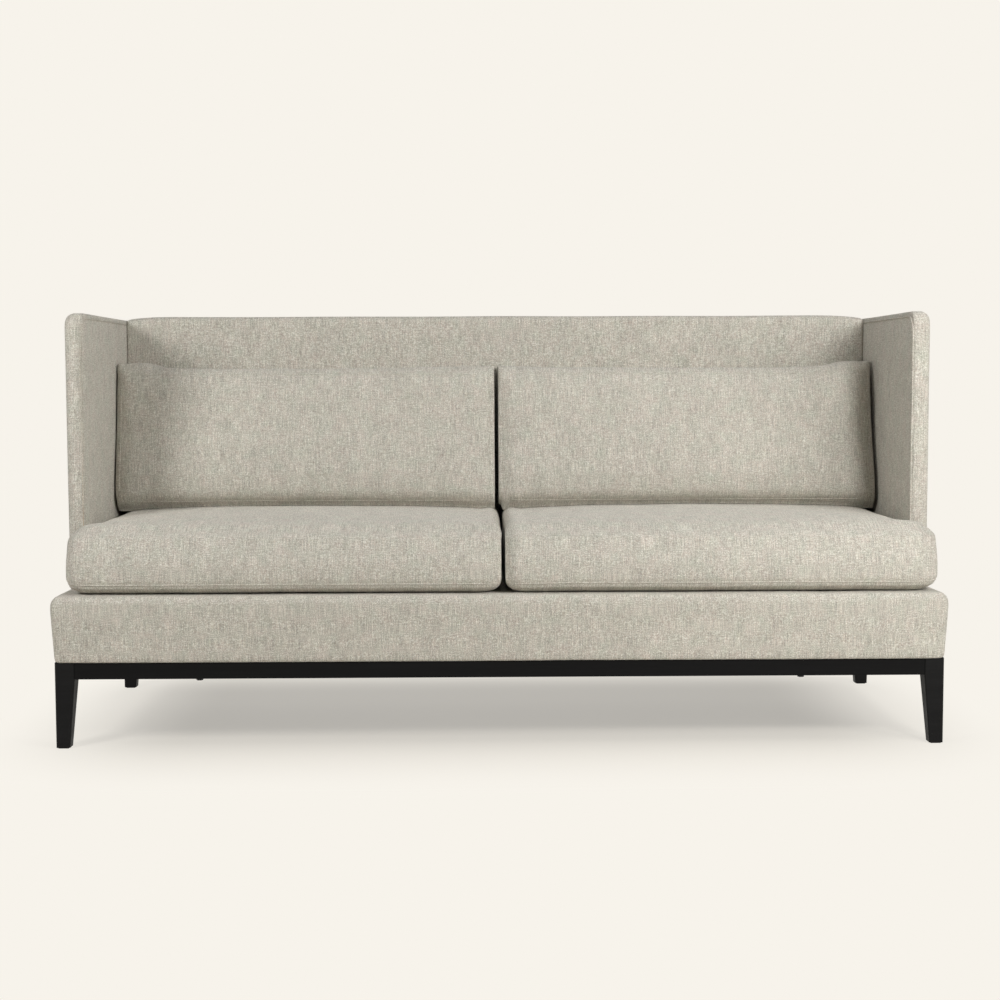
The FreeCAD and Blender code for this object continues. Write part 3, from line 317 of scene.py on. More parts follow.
def woven_material(name, ground, stripe, pitch, along):
    """Elastic webbing or tape: ribs across its run, darker threads down it."""
    g = Graph(name)
    parts = g.split(g.place())
    run = parts[along]
    side = parts[1 - along] if along < 2 else parts[0]
    rib = g.wave(run, pitch)
    lines = g.wave(side, 5 * pitch)
    fuzz = g.noise(g.place(), 500.0)
    tone = g.fit(g.maths("ADD", lines, fuzz), 0.9, 1.3)
    colour = g.mix(tone, linear(ground), linear(stripe))
    height = g.maths("ADD", g.maths("MULTIPLY", rib, 0.5), fuzz)
    g.set(g.shader, {
        "Base Color": colour,
        "Roughness": 0.85,
        "Sheen Weight": 0.15,
        "Normal": g.bump(height, 0.6, 0.4 * MM),
    })
    return g.material


def grainy_material(name, dark, light, size, rough, metal=0.0, depth=0.2 * MM, sheen=0.0):
    """Anything with an even fine grain: foam, board, spunbond cloth, steel, nylon."""
    g = Graph(name)
    fine = g.noise(g.place(), 1.0 / size, 3.0, 0.65)
    broad = g.noise(g.place(), 0.08 / size, 2.0)
    tone = g.fit(g.maths("ADD", fine, g.maths("MULTIPLY", broad, 0.5)), 0.55, 0.95)
    g.set(g.shader, {
        "Base Color": g.mix(tone, linear(dark), linear(light)),
        "Metallic": metal,
        "Roughness": g.fit(fine, 0.35, 0.65, rough - 0.07, rough + 0.07),
        "Sheen Weight": sheen,
        "Normal": g.bump(fine, 0.4, depth),
    })
    return g.material


def dress(starts, material):
    """Gives the CAD nodes whose names start so a material."""
    for node in [n for n in NODES if n.startswith(starts)]:
        piece = NODES[node]
        if not piece.material_slots:
            piece.data.materials.append(material)
        for one in piece.material_slots:
            one.material = material


# Meshes.

def add_object(name, data):
    piece = bpy.data.objects.new(name, data)
    bpy.context.scene.collection.objects.link(piece)
    return piece


def new_piece(name, points, faces, material, smooth=True):
    mesh = bpy.data.meshes.new(name)
    mesh.from_pydata([tuple(p) for p in points], [], [tuple(f) for f in faces])
    mesh.materials.append(material)
    mesh.polygons.foreach_set("use_smooth", [smooth] * len(mesh.polygons))
    mesh.update()
    return add_object(name, mesh)


def points_of(piece):
    flat = np.empty(len(piece.data.vertices) * 3)
    piece.data.vertices.foreach_get("co", flat)
    return flat.reshape(-1, 3)


def put_points(piece, points):
    piece.data.vertices.foreach_set("co", np.asarray(points, np.float32).ravel())
    piece.data.update()


def normals_of(piece):
    flat = np.empty(len(piece.data.vertices) * 3)
    piece.data.vertices.foreach_get("normal", flat)
    return flat.reshape(-1, 3)


def bake(piece, material):
    """Writes what the modifiers show into the mesh."""
    shown = piece.evaluated_get(bpy.context.evaluated_depsgraph_get())
    mesh = bpy.data.meshes.new_from_object(shown)
    piece.modifiers.clear()
    piece.data = mesh
    mesh.materials.clear()
    mesh.materials.append(material)
    mesh.polygons.foreach_set("material_index", [0] * len(mesh.polygons))
    mesh.polygons.foreach_set("use_smooth", [True] * len(mesh.polygons))
    mesh.update()


def hull_of(name, node, material):
    """The closed convex mesh round everything in a CAD node."""
    points = points_of(NODES[node])
    made = bmesh.new()
    for p in points:
        made.verts.new(p)
    bmesh.ops.remove_doubles(made, verts=made.verts, dist=SAME_POINT)
    bmesh.ops.convex_hull(made, input=made.verts)
    loose = [v for v in made.verts if not v.link_faces]
    bmesh.ops.delete(made, geom=loose, context="VERTS")
    mesh = bpy.data.meshes.new(name)
    made.to_mesh(mesh)
    made.free()
    mesh.materials.append(material)
    return add_object(name, mesh)


def copy_of(name, node, material):
    """A new object with a CAD node's mesh."""
    mesh = NODES[node].data.copy()
    made = bmesh.new()
    made.from_mesh(mesh)
    bmesh.ops.remove_doubles(made, verts=made.verts, dist=SAME_POINT)
    made.to_mesh(mesh)
    made.free()
    mesh.materials.clear()
    mesh.materials.append(material)
    return add_object(name, mesh)


def remesh(piece, cell, material):
    step = piece.modifiers.new("Remesh", "REMESH")
    step.mode = "VOXEL"
    step.voxel_size = cell
    bake(piece, material)


def soften(piece, rounds, share, material):
    step = piece.modifiers.new("Smooth", "SMOOTH")
    step.factor = share
    step.iterations = rounds
    bake(piece, material)


def refine(piece, material):
    step = piece.modifiers.new("Fine", "SUBSURF")
    step.levels = 1
    step.render_levels = 1
    bake(piece, material)


def swell(piece, pressure, cap, shares, material):
    """Blows the cover up against its filling by cloth simulation, then limits how far each point may go."""
    before = points_of(piece)
    step = piece.modifiers.new("Cloth", "CLOTH")
    cloth = step.settings
    cloth.quality = 4
    cloth.mass = 0.3
    cloth.tension_stiffness = 12
    cloth.compression_stiffness = 12
    cloth.shear_stiffness = 4
    cloth.bending_stiffness = 0.6
    cloth.use_pressure = True
    cloth.uniform_pressure_force = pressure
    cloth.effector_weights.gravity = 0
    step.point_cache.frame_start = 1
    step.point_cache.frame_end = SIMULATED_FRAMES
    for number in range(1, SIMULATED_FRAMES + 1):
        bpy.context.scene.frame_set(number)
    bake(piece, material)
    moves = points_of(piece) - before
    length = np.linalg.norm(moves, axis=1, keepdims=True)
    moves *= np.minimum(1.0, cap / np.maximum(length, 1e-9))
    put_points(piece, before + moves * np.array(shares))


def fit_room(piece, low, high, press_low, press_high):
    """Brings a piece to its room. press, in mm, is how far each side is flattened against what it meets."""
    points = points_of(piece)
    have_low, have_high = points.min(0), points.max(0)
    low, high = np.array(low), np.array(high)
    want_low, want_high = low - np.array(press_low) * MM, high + np.array(press_high) * MM
    points = want_low + (points - have_low) / (have_high - have_low) * (want_high - want_low)
    put_points(piece, np.clip(points, low, high))


def ripple(piece, size, depth, seed, apart=0):
    """Pushes the surface in and out a little, as hand-laid cloth is. apart tells two like pieces apart."""
    points = points_of(piece)
    seed += apart
    shift = Vector((seed, seed * 2.3, seed * 0.7))
    amount = np.array([noise.noise(Vector(p) / size + shift) for p in points])
    put_points(piece, points + normals_of(piece) * (amount * depth)[:, None])


def tree_of(piece):
    mesh = piece.data
    return BVHTree.FromPolygons([v.co for v in mesh.vertices], [p.vertices for p in mesh.polygons])


def laid(path, tree, lift):
    """The path's points, moved onto the surface and raised by lift."""
    out = []
    for p in path:
        spot, facing, _, _ = tree.find_nearest(Vector(p))
        out.append(spot + facing * lift)
    return out


def even(path, step, closed=False):
    """Points a fixed distance apart along a line of points."""
    line = [Vector(p) for p in path]
    if closed:
        line.append(line[0])
    gone = [0.0]
    for a, b in zip(line, line[1:]):
        gone.append(gone[-1] + (b - a).length)
    count = max(2, round(gone[-1] / step))
    marks = np.linspace(0, gone[-1], count + 1)
    parts = [np.interp(marks, gone, [p[i] for p in line]) for i in range(3)]
    out = [Vector(p) for p in zip(*parts)]
    return out[:-1] if closed else out


def calm(path, rounds, closed=False):
    """The same line with its small kinks smoothed."""
    line = [Vector(p) for p in path]
    for _ in range(rounds):
        last = len(line) - 1
        fresh = []
        for i, p in enumerate(line):
            if not closed and i in (0, last):
                fresh.append(p)
                continue
            fresh.append(p * 0.5 + (line[i - 1] + line[(i + 1) % len(line)]) * 0.25)
        line = fresh
    return line


def tube_parts(path, radius, sides, closed=False, start=0):
    """Points and faces of a round tube along a line."""
    points, faces = [], []
    count = len(path)
    side = Vector((0.31, 0.52, 0.79))
    for i, p in enumerate(path):
        after = path[(i + 1) % count] if closed or i < count - 1 else p
        before = path[i - 1] if closed or i > 0 else p
        ahead = (after - before).normalized()
        side = (side - ahead * side.dot(ahead)).normalized()
        third = ahead.cross(side)
        for k in range(sides):
            turn = 2 * math.pi * k / sides
            points.append(p + (side * math.cos(turn) + third * math.sin(turn)) * radius)
    rings = count if closed else count - 1
    for i in range(rings):
        a, b = i * sides, ((i + 1) % count) * sides
        for k in range(sides):
            m = (k + 1) % sides
            faces.append([start + a + k, start + a + m, start + b + m, start + b + k])
    if not closed:
        faces.append([start + k for k in range(sides)][::-1])
        faces.append([start + (count - 1) * sides + k for k in range(sides)])
    return points, faces


def ridge(name, path, radius, material, closed=False, sides=8):
    points, faces = tube_parts(path, radius, sides, closed)
    return new_piece(name, points, faces, material)


def stitches(name, path, material, long=3.6 * MM, gap=2.0 * MM, thick=0.45 * MM):
    """A row of thread stitches along a line."""
    line = even(path, long + gap)
    points, faces = [], []
    for a, b in zip(line, line[1:]):
        way = (b - a).normalized()
        mid = (a + b) / 2
        run = [mid + way * (long * s) for s in (-0.5, -0.38, 0.38, 0.5)]
        ring, more = tube_parts(run, thick, 6, start=len(points))
        for k in list(range(6)) + list(range(18, 24)):
            centre = run[0] if k < 6 else run[3]
            ring[k] = centre + (ring[k] - centre) * 0.35
        points += ring
        faces += more
    return new_piece(name, points, faces, material)


def groove(piece, path, depth, reach):
    """Sinks the surface along a seam."""
    points = points_of(piece)
    line = np.array([tuple(p) for p in path])
    low, high = line.min(0) - 3 * reach, line.max(0) + 3 * reach
    near = np.where(((points > low) & (points < high)).all(1))[0]
    best = np.full(len(near), 1e9)
    for start in range(0, len(line), 200):
        gap = points[near][:, None, :] - line[None, start:start + 200, :]
        best = np.minimum(best, (gap ** 2).sum(2).min(1))
    push = depth * np.exp(-best / (2 * reach ** 2))
    points[near] -= normals_of(piece)[near] * push[:, None]
    put_points(piece, points)


def finish_piece(piece, body, nodes=()):
    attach(piece, body)
    if nodes:
        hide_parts(*nodes)


CLOTH = cloth_material("cloth_frame", CLOTH_LIGHT, CLOTH_WARM, CLOTH_COOL, 0.0)
THREAD = grainy_material("thread", (176, 168, 154), (206, 199, 186), 0.6 * MM, 0.8)
DUST = grainy_material("dust_cloth_black", (22, 22, 23), (44, 44, 46), 1.2 * MM, 0.9, depth=0.3 * MM)


# The upholstered base, a box with slightly loose cloth and a black cloth let into its underside.

def make_base():
    piece = hull_of("base_upholstery", "base_cover", CLOTH)
    remesh(piece, CELL_BASE, CLOTH)
    soften(piece, 2, 0.5, CLOTH)
    refine(piece, CLOTH)
    low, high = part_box("base_cover")
    fit_room(piece, low, high, *BASE_PRESS)
    dust_low, dust_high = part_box("dust_cover")
    points = points_of(piece)
    inside = (
        (points[:, 2] < low.z + 3 * MM)
        & (points[:, 0] > dust_low.x) & (points[:, 0] < dust_high.x)
        & (points[:, 1] > dust_low.y) & (points[:, 1] < dust_high.y)
    )
    points[inside, 2] += DUST_RECESS
    put_points(piece, points)
    ripple(piece, *BASE_RIPPLE)
    put_points(piece, np.clip(points_of(piece), np.array(low), np.array(high)))
    fit_room(piece, low - BASE_PROUD, high + Vector((BASE_PROUD.x, 0, 0)), NO_PRESS, NO_PRESS)
    finish_piece(piece, "frame", ("base_cover", "base_padding", "deck_pad"))


def make_wing(side):
    """A high thin side panel, with a sewn seam and a row of stitches along its inner front and top edges."""
    piece = hull_of("wing_upholstery_" + side, "wing_cover_" + side, CLOTH)
    remesh(piece, CELL_WING, CLOTH)
    soften(piece, 2, 0.5, CLOTH)
    refine(piece, CLOTH)
    ripple(piece, *WING_RIPPLE, SIDES[side])
    low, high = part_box("wing_cover_" + side)
    fit_room(piece, low, high, *WING_PRESS)
    if side == "left":
        recurve(piece, (0, 1), (high.x, low.y), (1, -1), *WING_FRONT_CORNER)
    finish_piece(piece, "frame", ("wing_cover_" + side, "wing_padding_" + side))
    inner = low.x if side == "right" else high.x
    front, top = low.y + WING_SEAM_EDGE, high.z - WING_SEAM_DROP
    path = [(inner, front, low.z + WING_SEAM_START)]
    for step in range(WING_SEAM_TURNS + 1):
        turn = math.pi / 2 * step / WING_SEAM_TURNS
        y = front + WING_SEAM_BEND * (1 - math.cos(turn))
        z = top - WING_SEAM_BEND * (1 - math.sin(turn))
        path.append((inner, y, z))
    path.append((inner, BACK_FACE, top))
    line = calm(even(path, WING_SEAM_STEP), 3)
    depth, radius = WING_SEAM[side]
    seam = calm(laid(line, tree_of(piece), 0.6 * MM), 2)
    groove(piece, [p + WING_SEAM_DIP for p in seam], depth, WING_SEAM_REACH)
    finish_piece(ridge("wing_seam_" + side, seam, radius, CLOTH), "frame")
    beside = laid([p + WING_STITCHES for p in line], tree_of(piece), 0.25 * MM)
    row = stitches("wing_stitches_" + side, beside, THREAD)
    finish_piece(row, "frame")


def make_back():
    piece = hull_of("back_upholstery", "back_cover_inside", CLOTH)
    remesh(piece, CELL_BACK, CLOTH)
    soften(piece, 2, 0.5, CLOTH)
    refine(piece, CLOTH)
    ripple(piece, *BACK_RIPPLE)
    low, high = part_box("back_cover_inside")
    fit_room(piece, low, high, *BACK_PRESS)
    finish_piece(piece, "frame", ("back_cover_inside", "back_padding"))


def sheet_grid(name, low, high, corner, thick, cell, wave, seed, material):
    """A thin sheet that fills a box's two long sides, with rounded corners and a slight wave."""
    size = high - low
    thin = min(range(3), key=lambda i: size[i])
    a, b = [i for i in range(3) if i != thin]
    middle = (low + high) / 2
    half_a, half_b = size[a] / 2, size[b] / 2
    count_a, count_b = round(size[a] / cell), round(size[b] / cell)
    points, faces = [], []
    for face in (-0.5, 0.5):
        for i in range(count_a + 1):
            for j in range(count_b + 1):
                s = -half_a + size[a] * i / count_a
                t = -half_b + size[b] * j / count_b
                over_s, over_t = abs(s) - (half_a - corner), abs(t) - (half_b - corner)
                if over_s > 0 and over_t > 0:
                    share = max(over_s, over_t) / math.hypot(over_s, over_t)
                    s = math.copysign(half_a - corner + over_s * share, s)
                    t = math.copysign(half_b - corner + over_t * share, t)
                p = [0.0, 0.0, 0.0]
                p[a], p[b] = middle[a] + s, middle[b] + t
                swing = noise.noise(Vector((s / WAVE_SIZE + seed, t / WAVE_SIZE, seed)))
                p[thin] = middle[thin] + face * thick + wave * swing
                points.append(p)
    row = count_b + 1
    layer = (count_a + 1) * row
    for i in range(count_a):
        for j in range(count_b):
            k = i * row + j
            faces.append([k, k + 1, k + row + 1, k + row])
            faces.append([layer + k, layer + k + row, layer + k + row + 1, layer + k + 1])
    rim = [i * row for i in range(count_a)] + [count_a * row + j for j in range(count_b)]
    rim += [i * row + count_b for i in range(count_a, 0, -1)] + [j for j in range(count_b, 0, -1)]
    for k, m in zip(rim, rim[1:] + rim[:1]):
        faces.append([k, m, m + layer, k + layer])
    piece = new_piece(name, points, faces, material)
    made = bmesh.new()
    made.from_mesh(piece.data)
    bmesh.ops.recalc_face_normals(made, faces=made.faces)
    made.to_mesh(piece.data)
    made.free()
    return piece


def make_sheets():
    low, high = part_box("back_cover_outside")
    panel = sheet_grid("back_panel_cloth", low, high, 20 * MM, 2.2 * MM, 14 * MM, 0.7 * MM, 4.0, CLOTH)
    finish_piece(panel, "frame", ("back_cover_outside",))
    low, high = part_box("dust_cover")
    cloth = sheet_grid("dust_sheet", low, high, 4 * MM, 0.6 * MM, 16 * MM, 0.5 * MM, 8.0, DUST)
    finish_piece(cloth, "frame", ("dust_cover",))


# Cushions.

def puff(piece, pressure, cap, shares):
    """Blows a cushion up."""
    swell(piece, pressure, cap, shares, CLOTH)


def lift_edge(piece, low, outer_x):
    """Rounds the lower edge up from the deck along the front and the outer side."""
    points = points_of(piece)
    inward = np.minimum(points[:, 1] - low.y, np.abs(points[:, 0] - outer_x))
    share = np.clip(1.5 - 1.5 * inward / EDGE_REACH, 0, 1)
    share = share * np.clip(1 - (points[:, 2] - low.z) / EDGE_HEIGHT, 0, 1)
    points[:, 2] += EDGE_LIFT * share
    put_points(piece, points)


def side_limit(piece, ear_rear, wall):
    """Keeps the part between the wings clear of them."""
    points = points_of(piece)
    between = points[:, 1] > ear_rear
    points[between, 0] = np.clip(points[between, 0], -wall, wall)
    put_points(piece, points)


def make_seat(side):
    """A T-shaped seat cushion, whose ear wraps in front of the wing."""
    cover, foam = "seat_cushion_cover_" + side, "seat_cushion_foam_" + side
    low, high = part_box(cover)
    piece = copy_of("seat_cushion_" + side, foam, CLOTH)
    remesh(piece, CELL_SEAT, CLOTH)
    soften(piece, 4, 0.5, CLOTH)
    puff(piece, *SEAT_PUFF)
    refine(piece, CLOTH)
    ripple(piece, *SEAT_RIPPLE, 5 * SIDES[side])
    left = side == "left"
    room_low, room_high = low.copy(), high.copy()
    room_high.y -= SEAT_REAR_SLACK
    press_low, press_high = [0, 0, SEAT_FOOT_PRESS], [0, SEAT_REAR_PRESS, 0]
    if left:
        room_low.x += SEAT_OUTER_SLACK
        press_high[0] = SEAT_GAP_PRESS / MM
    else:
        room_high.x -= SEAT_OUTER_SLACK
        press_low[0] = SEAT_GAP_PRESS / MM
    fit_room(piece, room_low, room_high, press_low, press_high)
    gap_x, outer_x = (high.x, low.x) if left else (low.x, high.x)
    recurve(piece, (0, 2), (gap_x, high.z), (1 if left else -1, 1), *SEAT_GAP_CORNER)
    recurve(piece, (1, 2), (low.y, low.z), (-1, -1), *SEAT_FOOT_EDGE)
    put_points(piece, np.maximum(points_of(piece), np.array(low)))
    lift_edge(piece, low, outer_x)
    side_limit(piece, EAR_REAR, WING_WALL)
    body = "seat_cushion_" + side
    finish_piece(piece, body, (cover, foam))
    wall_x = SIDES[side] * WING_WALL
    corners = [(gap_x, low.y), (outer_x, low.y), (outer_x, EAR_REAR)]
    corners += [(wall_x, EAR_REAR), (wall_x, high.y), (gap_x, high.y)]
    loop = [(x, y, low.z + SEAM_RISE) for x, y in corners]
    line = calm(even(loop, ROUND_SEAM_STEP, True), 14, True)
    seam_round(piece, body, "seat_seam_" + side, line, *SEAT_SEAM)
    return piece


def seam_round(piece, body, name, line, depth, radius):
    """A sewn seam all round: the cover sinks to it and the joined edges stand up as a fine ridge."""
    rough = calm(laid(line, tree_of(piece), 0), 3, True)
    groove(piece, rough, depth, ROUND_SEAM_REACH)
    seam = calm(laid(rough, tree_of(piece), 0.25 * MM), 2, True)
    finish_piece(ridge(name, seam, radius, CLOTH, True), body)


def make_pillow(side, seat):
    """A boxed back cushion, which leans on the back and rests on its seat cushion."""
    cover, fill = "back_cushion_cover_" + side, "back_cushion_fill_" + side
    low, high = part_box(cover)
    piece = copy_of("back_cushion_" + side, fill, CLOTH)
    remesh(piece, CELL_PILLOW, CLOTH)
    soften(piece, 2, 0.5, CLOTH)
    puff(piece, *PILLOW_PUFF)
    refine(piece, CLOTH)
    ripple(piece, *PILLOW_RIPPLE, 7 * SIDES[side])
    left = side == "left"
    ends = (PILLOW_OUTER_PRESS, PILLOW_INNER_PRESS)
    low_end, high_end = ends if left else ends[::-1]
    press_high = (high_end, PILLOW_REAR_PRESS, PILLOW_TOP_PRESS)
    fit_room(piece, low, high, (low_end, 0, PILLOW_FOOT_PRESS), press_high)
    for x, way in ((low.x, -1), (high.x, 1)):
        recurve(piece, (0, 2), (x, high.z), (way, 1), *PILLOW_TOP_CORNER)
        recurve(piece, (0, 2), (x, low.z), (way, -1), *PILLOW_FOOT_CORNER)
    lean(piece, high.y)
    narrow_end(piece, side, low, high)
    raise_corner(piece, SIDES[side], low, high)
    soften(piece, 2, 0.5, CLOTH)
    limit_corner(piece, low, high, low.x if left else high.x)
    settle(piece, seat, low.z)
    body = "back_cushion_" + side
    finish_piece(piece, body, (cover, fill))
    for face in PILLOW_SEAM_PLACE:
        line = pillow_line(piece, face, low, high)
        seam_round(piece, body, "pillow_seam_" + face + "_" + side, line, *PILLOW_SEAM)


def pillow_line(piece, face, low, high):
    """The line of a back cushion's front or rear seam, thrown onto its cloth from outside."""
    inset, below_top = PILLOW_SEAM_PLACE[face]
    look = 1 if face == "front" else -1
    x0, x1, foot, top = low.x + inset, high.x - inset, low.z + PILLOW_SEAM_FOOT, high.z - below_top
    middle = (low.y + high.y) / 2
    corners = [(x, middle, z) for x, z in ((x0, foot), (x1, foot), (x1, top), (x0, top))]
    outside = (low.y if look == 1 else high.y) - look * 60 * MM
    tree = tree_of(piece)
    line = []
    for p in calm(even(corners, ROUND_SEAM_STEP, True), 8, True):
        spot = tree.ray_cast(Vector((p.x, outside, p.z)), Vector((0, look, 0)))[0]
        line.append(spot or tree.find_nearest(p)[0])
    return line


def lean(piece, rear):
    """Gives the front one even slope from foot to top, by thinning the cushion where it stands forward."""
    points = points_of(piece)
    middle = (points[:, 0].min() + points[:, 0].max()) / 2
    half_width, step = 0.12, 10 * MM
    column = points[np.abs(points[:, 0] - middle) < half_width]
    levels = np.arange(column[:, 2].min() + step / 2, column[:, 2].max(), step)
    fronts = np.array([column[np.abs(column[:, 2] - z) < 6 * MM, 1].min() for z in levels])
    share = np.clip((levels - LEAN_FOOT) / (LEAN_TOP - LEAN_FOOT), 0, 1.2)
    wanted = np.maximum(fronts, fronts.min() + LEAN_BACK * share ** 1.25)
    wanted += FOOT_TUCK * np.clip(1 - (levels - levels[0]) / FOOT_REACH, 0, 1) ** 2
    thin = (rear - wanted) / (rear - fronts)
    points[:, 1] = rear - (rear - points[:, 1]) * np.interp(points[:, 2], levels, thin)
    put_points(piece, points)


def narrow_end(piece, side, low, high):
    """Thins the cushion towards its outer end, where it is tucked in beside the wing."""
    reach, foot, top = NARROWING[side]
    points = points_of(piece)
    most = foot + (top - foot) * np.clip((points[:, 2] - low.z) / (high.z - low.z), 0, 1)
    outer = low.x if side == "left" else high.x
    share = np.clip(1 - np.abs(points[:, 0] - outer) / reach, 0, 1) ** 1.6
    points[:, 1] = high.y - (high.y - points[:, 1]) * (1 - most * share)
    put_points(piece, points)


def edge_reach(cos, sin, room, radius):
    """How far a corner rounded to a radius lies from the point that is room inside both of its sides."""
    k = room - radius
    curve = k * (cos + sin) + np.sqrt(np.maximum((k * (cos + sin)) ** 2 - 2 * k * k + radius * radius, 0))
    longer = np.maximum(cos, sin)
    return np.where(room * np.minimum(cos, sin) / longer <= k, room / longer, curve)


def recurve(piece, axes, corner, ways, old, new):
    """Changes a corner's radius, seen along the third axis. ways point out of the corner."""
    points = points_of(piece)
    room = max(old, new)
    out = [(points[:, axis] - place) * way + room for axis, place, way in zip(axes, corner, ways)]
    near = np.where((out[0] > 0) & (out[1] > 0))[0]
    away = np.hypot(out[0][near], out[1][near])
    cos, sin = out[0][near] / away, out[1][near] / away
    scale = edge_reach(cos, sin, room, new) / edge_reach(cos, sin, room, old)
    for axis, place, way, part in zip(axes, corner, ways, (cos, sin)):
        points[near, axis] = place + (part * away * scale - room) * way
    put_points(piece, points)


def settle(piece, seat, foot):
    """Lets a back cushion's foot sink until it lies on the seat cushion, whose top falls away at its ends."""
    points = points_of(piece)
    tree = tree_of(seat)
    near = np.where(points[:, 2] < foot + SETTLE_REACH)[0]
    for i in near:
        x, y, z = points[i]
        under = tree.ray_cast(Vector((x, y, foot + SETTLE_START)), Vector((0, 0, -1)))[0]
        bed = under.z + SETTLE_GAP if under else foot
        drop = min(max(foot - bed, 0.0), SETTLE_MOST)
        points[i, 2] = max(z - drop * (1 - (z - foot) / SETTLE_REACH), bed)
    put_points(piece, points)


def raise_corner(piece, sign, low, high):
    """The top edge rises a little towards the corner beside the wing."""
    points = points_of(piece)
    outer = max(abs(low.x), abs(high.x))
    along = outer - points[:, 0] * sign
    hump = np.exp(-((along - CORNER_WIDTH) / CORNER_WIDTH) ** 2)
    half = 0.5 * (high.z - low.z)
    share = np.clip((points[:, 2] - (low.z + half)) / half, 0, 1) ** 2
    points[:, 2] += CORNER_RISE * hump * share
    put_points(piece, points)


def limit_corner(piece, low, high, outer_x):
    """Keeps the cushion in its room, above which only the corner beside the wing may rise."""
    points = np.clip(points_of(piece), np.array(low), np.array(high) + np.array((0, 0, CORNER_MOST)))
    from_end = np.abs(points[:, 0] - outer_x)
    most = high.z + CORNER_MOST * np.clip(1.5 - from_end / CORNER_FADE, 0, 1)
    points[:, 2] = np.minimum(points[:, 2], most)
    put_points(piece, points)


# Stage.

def make_camera():
    cos, sin = math.cos, math.sin
    ahead = Vector((sin(CAMERA_YAW), cos(CAMERA_YAW), 0))
    right = Vector((cos(CAMERA_YAW), -sin(CAMERA_YAW), 0))
    up = Vector((0, 0, 1))
    look = ahead * cos(CAMERA_PITCH) - up * sin(CAMERA_PITCH)
    over = ahead * sin(CAMERA_PITCH) + up * cos(CAMERA_PITCH)
    side = right * cos(CAMERA_ROLL) + over * sin(CAMERA_ROLL)
    top = over * cos(CAMERA_ROLL) - right * sin(CAMERA_ROLL)
    data = bpy.data.cameras.new("camera")
    data.lens = CAMERA_LENS
    data.sensor_width = CAMERA_SENSOR
    data.clip_end = CAMERA_FAR
    camera = add_object("camera", data)
    turn = Matrix((side, top, -look)).transposed().to_4x4()
    camera.matrix_world = Matrix.Translation(CAMERA_PLACE) @ turn
    bpy.context.scene.camera = camera


def lamp(name, place, aim, size, power):
    data = bpy.data.lights.new(name, "AREA")
    data.shape = "DISK"
    data.size = size
    data.energy = power
    data.color = linear(LAMP_COLOUR)[:3]
    light = add_object(name, data)
    light.location = place
    light.rotation_mode = "QUATERNION"
    light.rotation_quaternion = (Vector(aim) - Vector(place)).to_track_quat("-Z", "Y")


def make_world():
    """A little light from all round, and the backdrop's colour where the world itself is seen."""
    world = bpy.data.worlds.new("world")
    bpy.context.scene.world = world
    world.use_nodes = True
    tree = world.node_tree
    path = tree.nodes.new("ShaderNodeLightPath")
    seen = tree.nodes.new("ShaderNodeMath")
    seen.operation = "MAXIMUM"
    also = tree.nodes.new("ShaderNodeMath")
    also.operation = "MAXIMUM"
    tree.links.new(path.outputs["Is Camera Ray"], seen.inputs[0])
    tree.links.new(path.outputs["Is Glossy Ray"], seen.inputs[1])
    tree.links.new(seen.outputs[0], also.inputs[0])
    tree.links.new(path.outputs["Is Transmission Ray"], also.inputs[1])
    light = tree.nodes["Background"]
    light.inputs["Color"].default_value = linear(WORLD_COLOUR)
    light.inputs["Strength"].default_value = WORLD_LIGHT
    shown = tree.nodes.new("ShaderNodeBackground")
    shown.inputs["Color"].default_value = linear(BACKDROP)
    shown.inputs["Strength"].default_value = 1.0
    mix = tree.nodes.new("ShaderNodeMixShader")
    tree.links.new(also.outputs[0], mix.inputs[0])
    tree.links.new(light.outputs[0], mix.inputs[1])
    tree.links.new(shown.outputs[0], mix.inputs[2])
    tree.links.new(mix.outputs[0], tree.nodes["World Output"].inputs["Surface"])


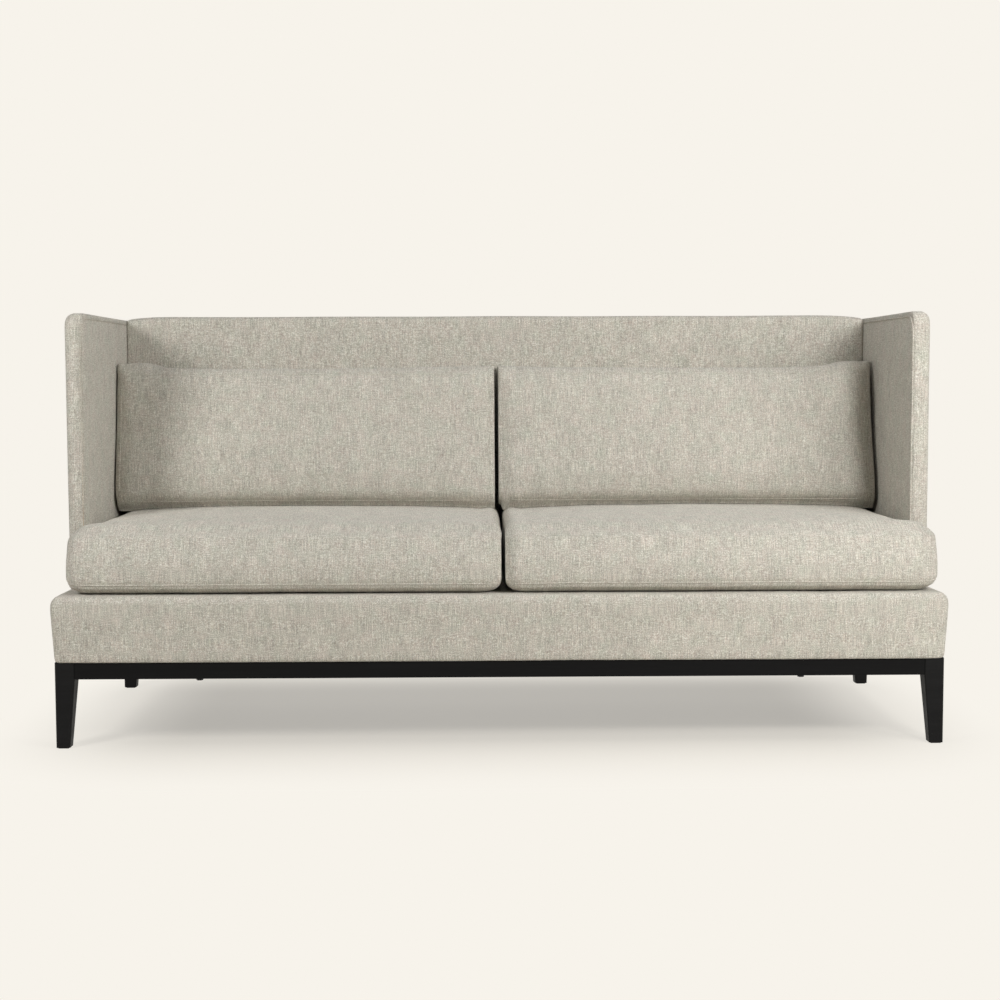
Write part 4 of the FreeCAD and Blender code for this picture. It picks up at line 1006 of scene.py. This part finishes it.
def make_floor():
    """A pale floor that is seen to fade into the backdrop, and keeps the soft shadow under the sofa."""
    g = Graph("floor_pale")
    x, y = g.split(g.place())[:2]
    beyond_x = g.maths("MAXIMUM", g.maths("SUBTRACT", g.maths("ABSOLUTE", x), SHADOW_HALF[0]), 0.0)
    beyond_y = g.maths("MAXIMUM", g.maths("SUBTRACT", g.maths("ABSOLUTE", y), SHADOW_HALF[1]), 0.0)
    beyond = g.add("VectorMath", {0: g.join(beyond_x, beyond_y)}, operation="LENGTH").outputs["Value"]
    shares = {"Value": beyond, "From Max": SHADOW_FADE, "To Min": 1 - SHADOW_SHARE, "To Max": 1.0}
    fade = g.add("MapRange", shares, interpolation_type="SMOOTHSTEP").outputs["Result"]
    path = g.add("LightPath").outputs
    seen = g.maths("MAXIMUM", path["Is Camera Ray"], path["Is Glossy Ray"])
    seen = g.maths("MAXIMUM", seen, path["Is Transmission Ray"])
    g.set(g.shader, {"Base Color": linear(FLOOR), "Roughness": 0.9, "Specular IOR Level": 0.1})
    pale = g.add("Emission", {"Color": linear(BACKDROP), "Strength": 1.0}).outputs[0]
    share = g.maths("MULTIPLY", fade, seen)
    mixed = g.add("MixShader", {0: share, 1: g.shader.outputs[0], 2: pale}).outputs[0]
    g.tree.links.new(mixed, g.out.inputs["Surface"])
    corners = [(x * FLOOR_REACH, y * FLOOR_REACH, 0) for x, y in ((-1, -1), (1, -1), (1, 1), (-1, 1))]
    floor = new_piece("floor", corners, [(0, 1, 2, 3)], g.material, smooth=False)


bpy.context.scene.view_settings.view_transform = "Standard"
make_camera()
make_world()
make_floor()
for name, settings in LAMPS.items():
    lamp(name, *settings)

# Materials of the pieces that keep their CAD shape.
dress(("leg_front", "leg_rear", "stand_cross"),
      wood_material("stained_black", STAIN, STAIN_LIGHT, 0.5, shine=0.15))
# Painted shade: the rail takes the legs' stain made darker.
dress("stand_rail", wood_material("stained_rail_painted_shade", RAIL_SHADED_STAIN, RAIL_SHADED_STAIN_LIGHT, 0.5, shine=0.12))
dress(("seat_rail", "seat_str", "seat_corner", "back_post", "back_rail", "wing_top", "wing_post"),
      wood_material("pine", (176, 136, 92), (214, 180, 134), 0.65))
dress("wing_panel", grainy_material("board", (140, 104, 70), (176, 138, 98), 3 * MM, 0.85))
dress(("seat_webbing_cross", "back_webbing_upright"),
      woven_material("webbing_b", WEBBING, WEBBING_STRIPE, 2 * MM, 1))
dress(("seat_webbing_long", "back_webbing_level"),
      woven_material("webbing_a", WEBBING, WEBBING_STRIPE, 2 * MM, 0))
dress(("seat_cushion_zip", "back_cushion_zip"),
      woven_material("tape", (150, 143, 130), (120, 114, 103), 1.2 * MM, 0))
dress(("seat_zip_slider", "back_zip_slider"),
      grainy_material("zip_steel", (120, 119, 114), (168, 166, 160), 0.8 * MM, 0.35, 1.0))
dress("stand_bolts", grainy_material("bolt_black", (24, 24, 25), (40, 40, 42), 1.5 * MM, 0.5, 0.5))
dress("leg_glides", grainy_material("nylon", (20, 20, 20), (40, 40, 41), 0.8 * MM, 0.5))

make_base()
make_sheets()
make_back()
for side in SIDES:
    make_wing(side)
    make_pillow(side, make_seat(side))
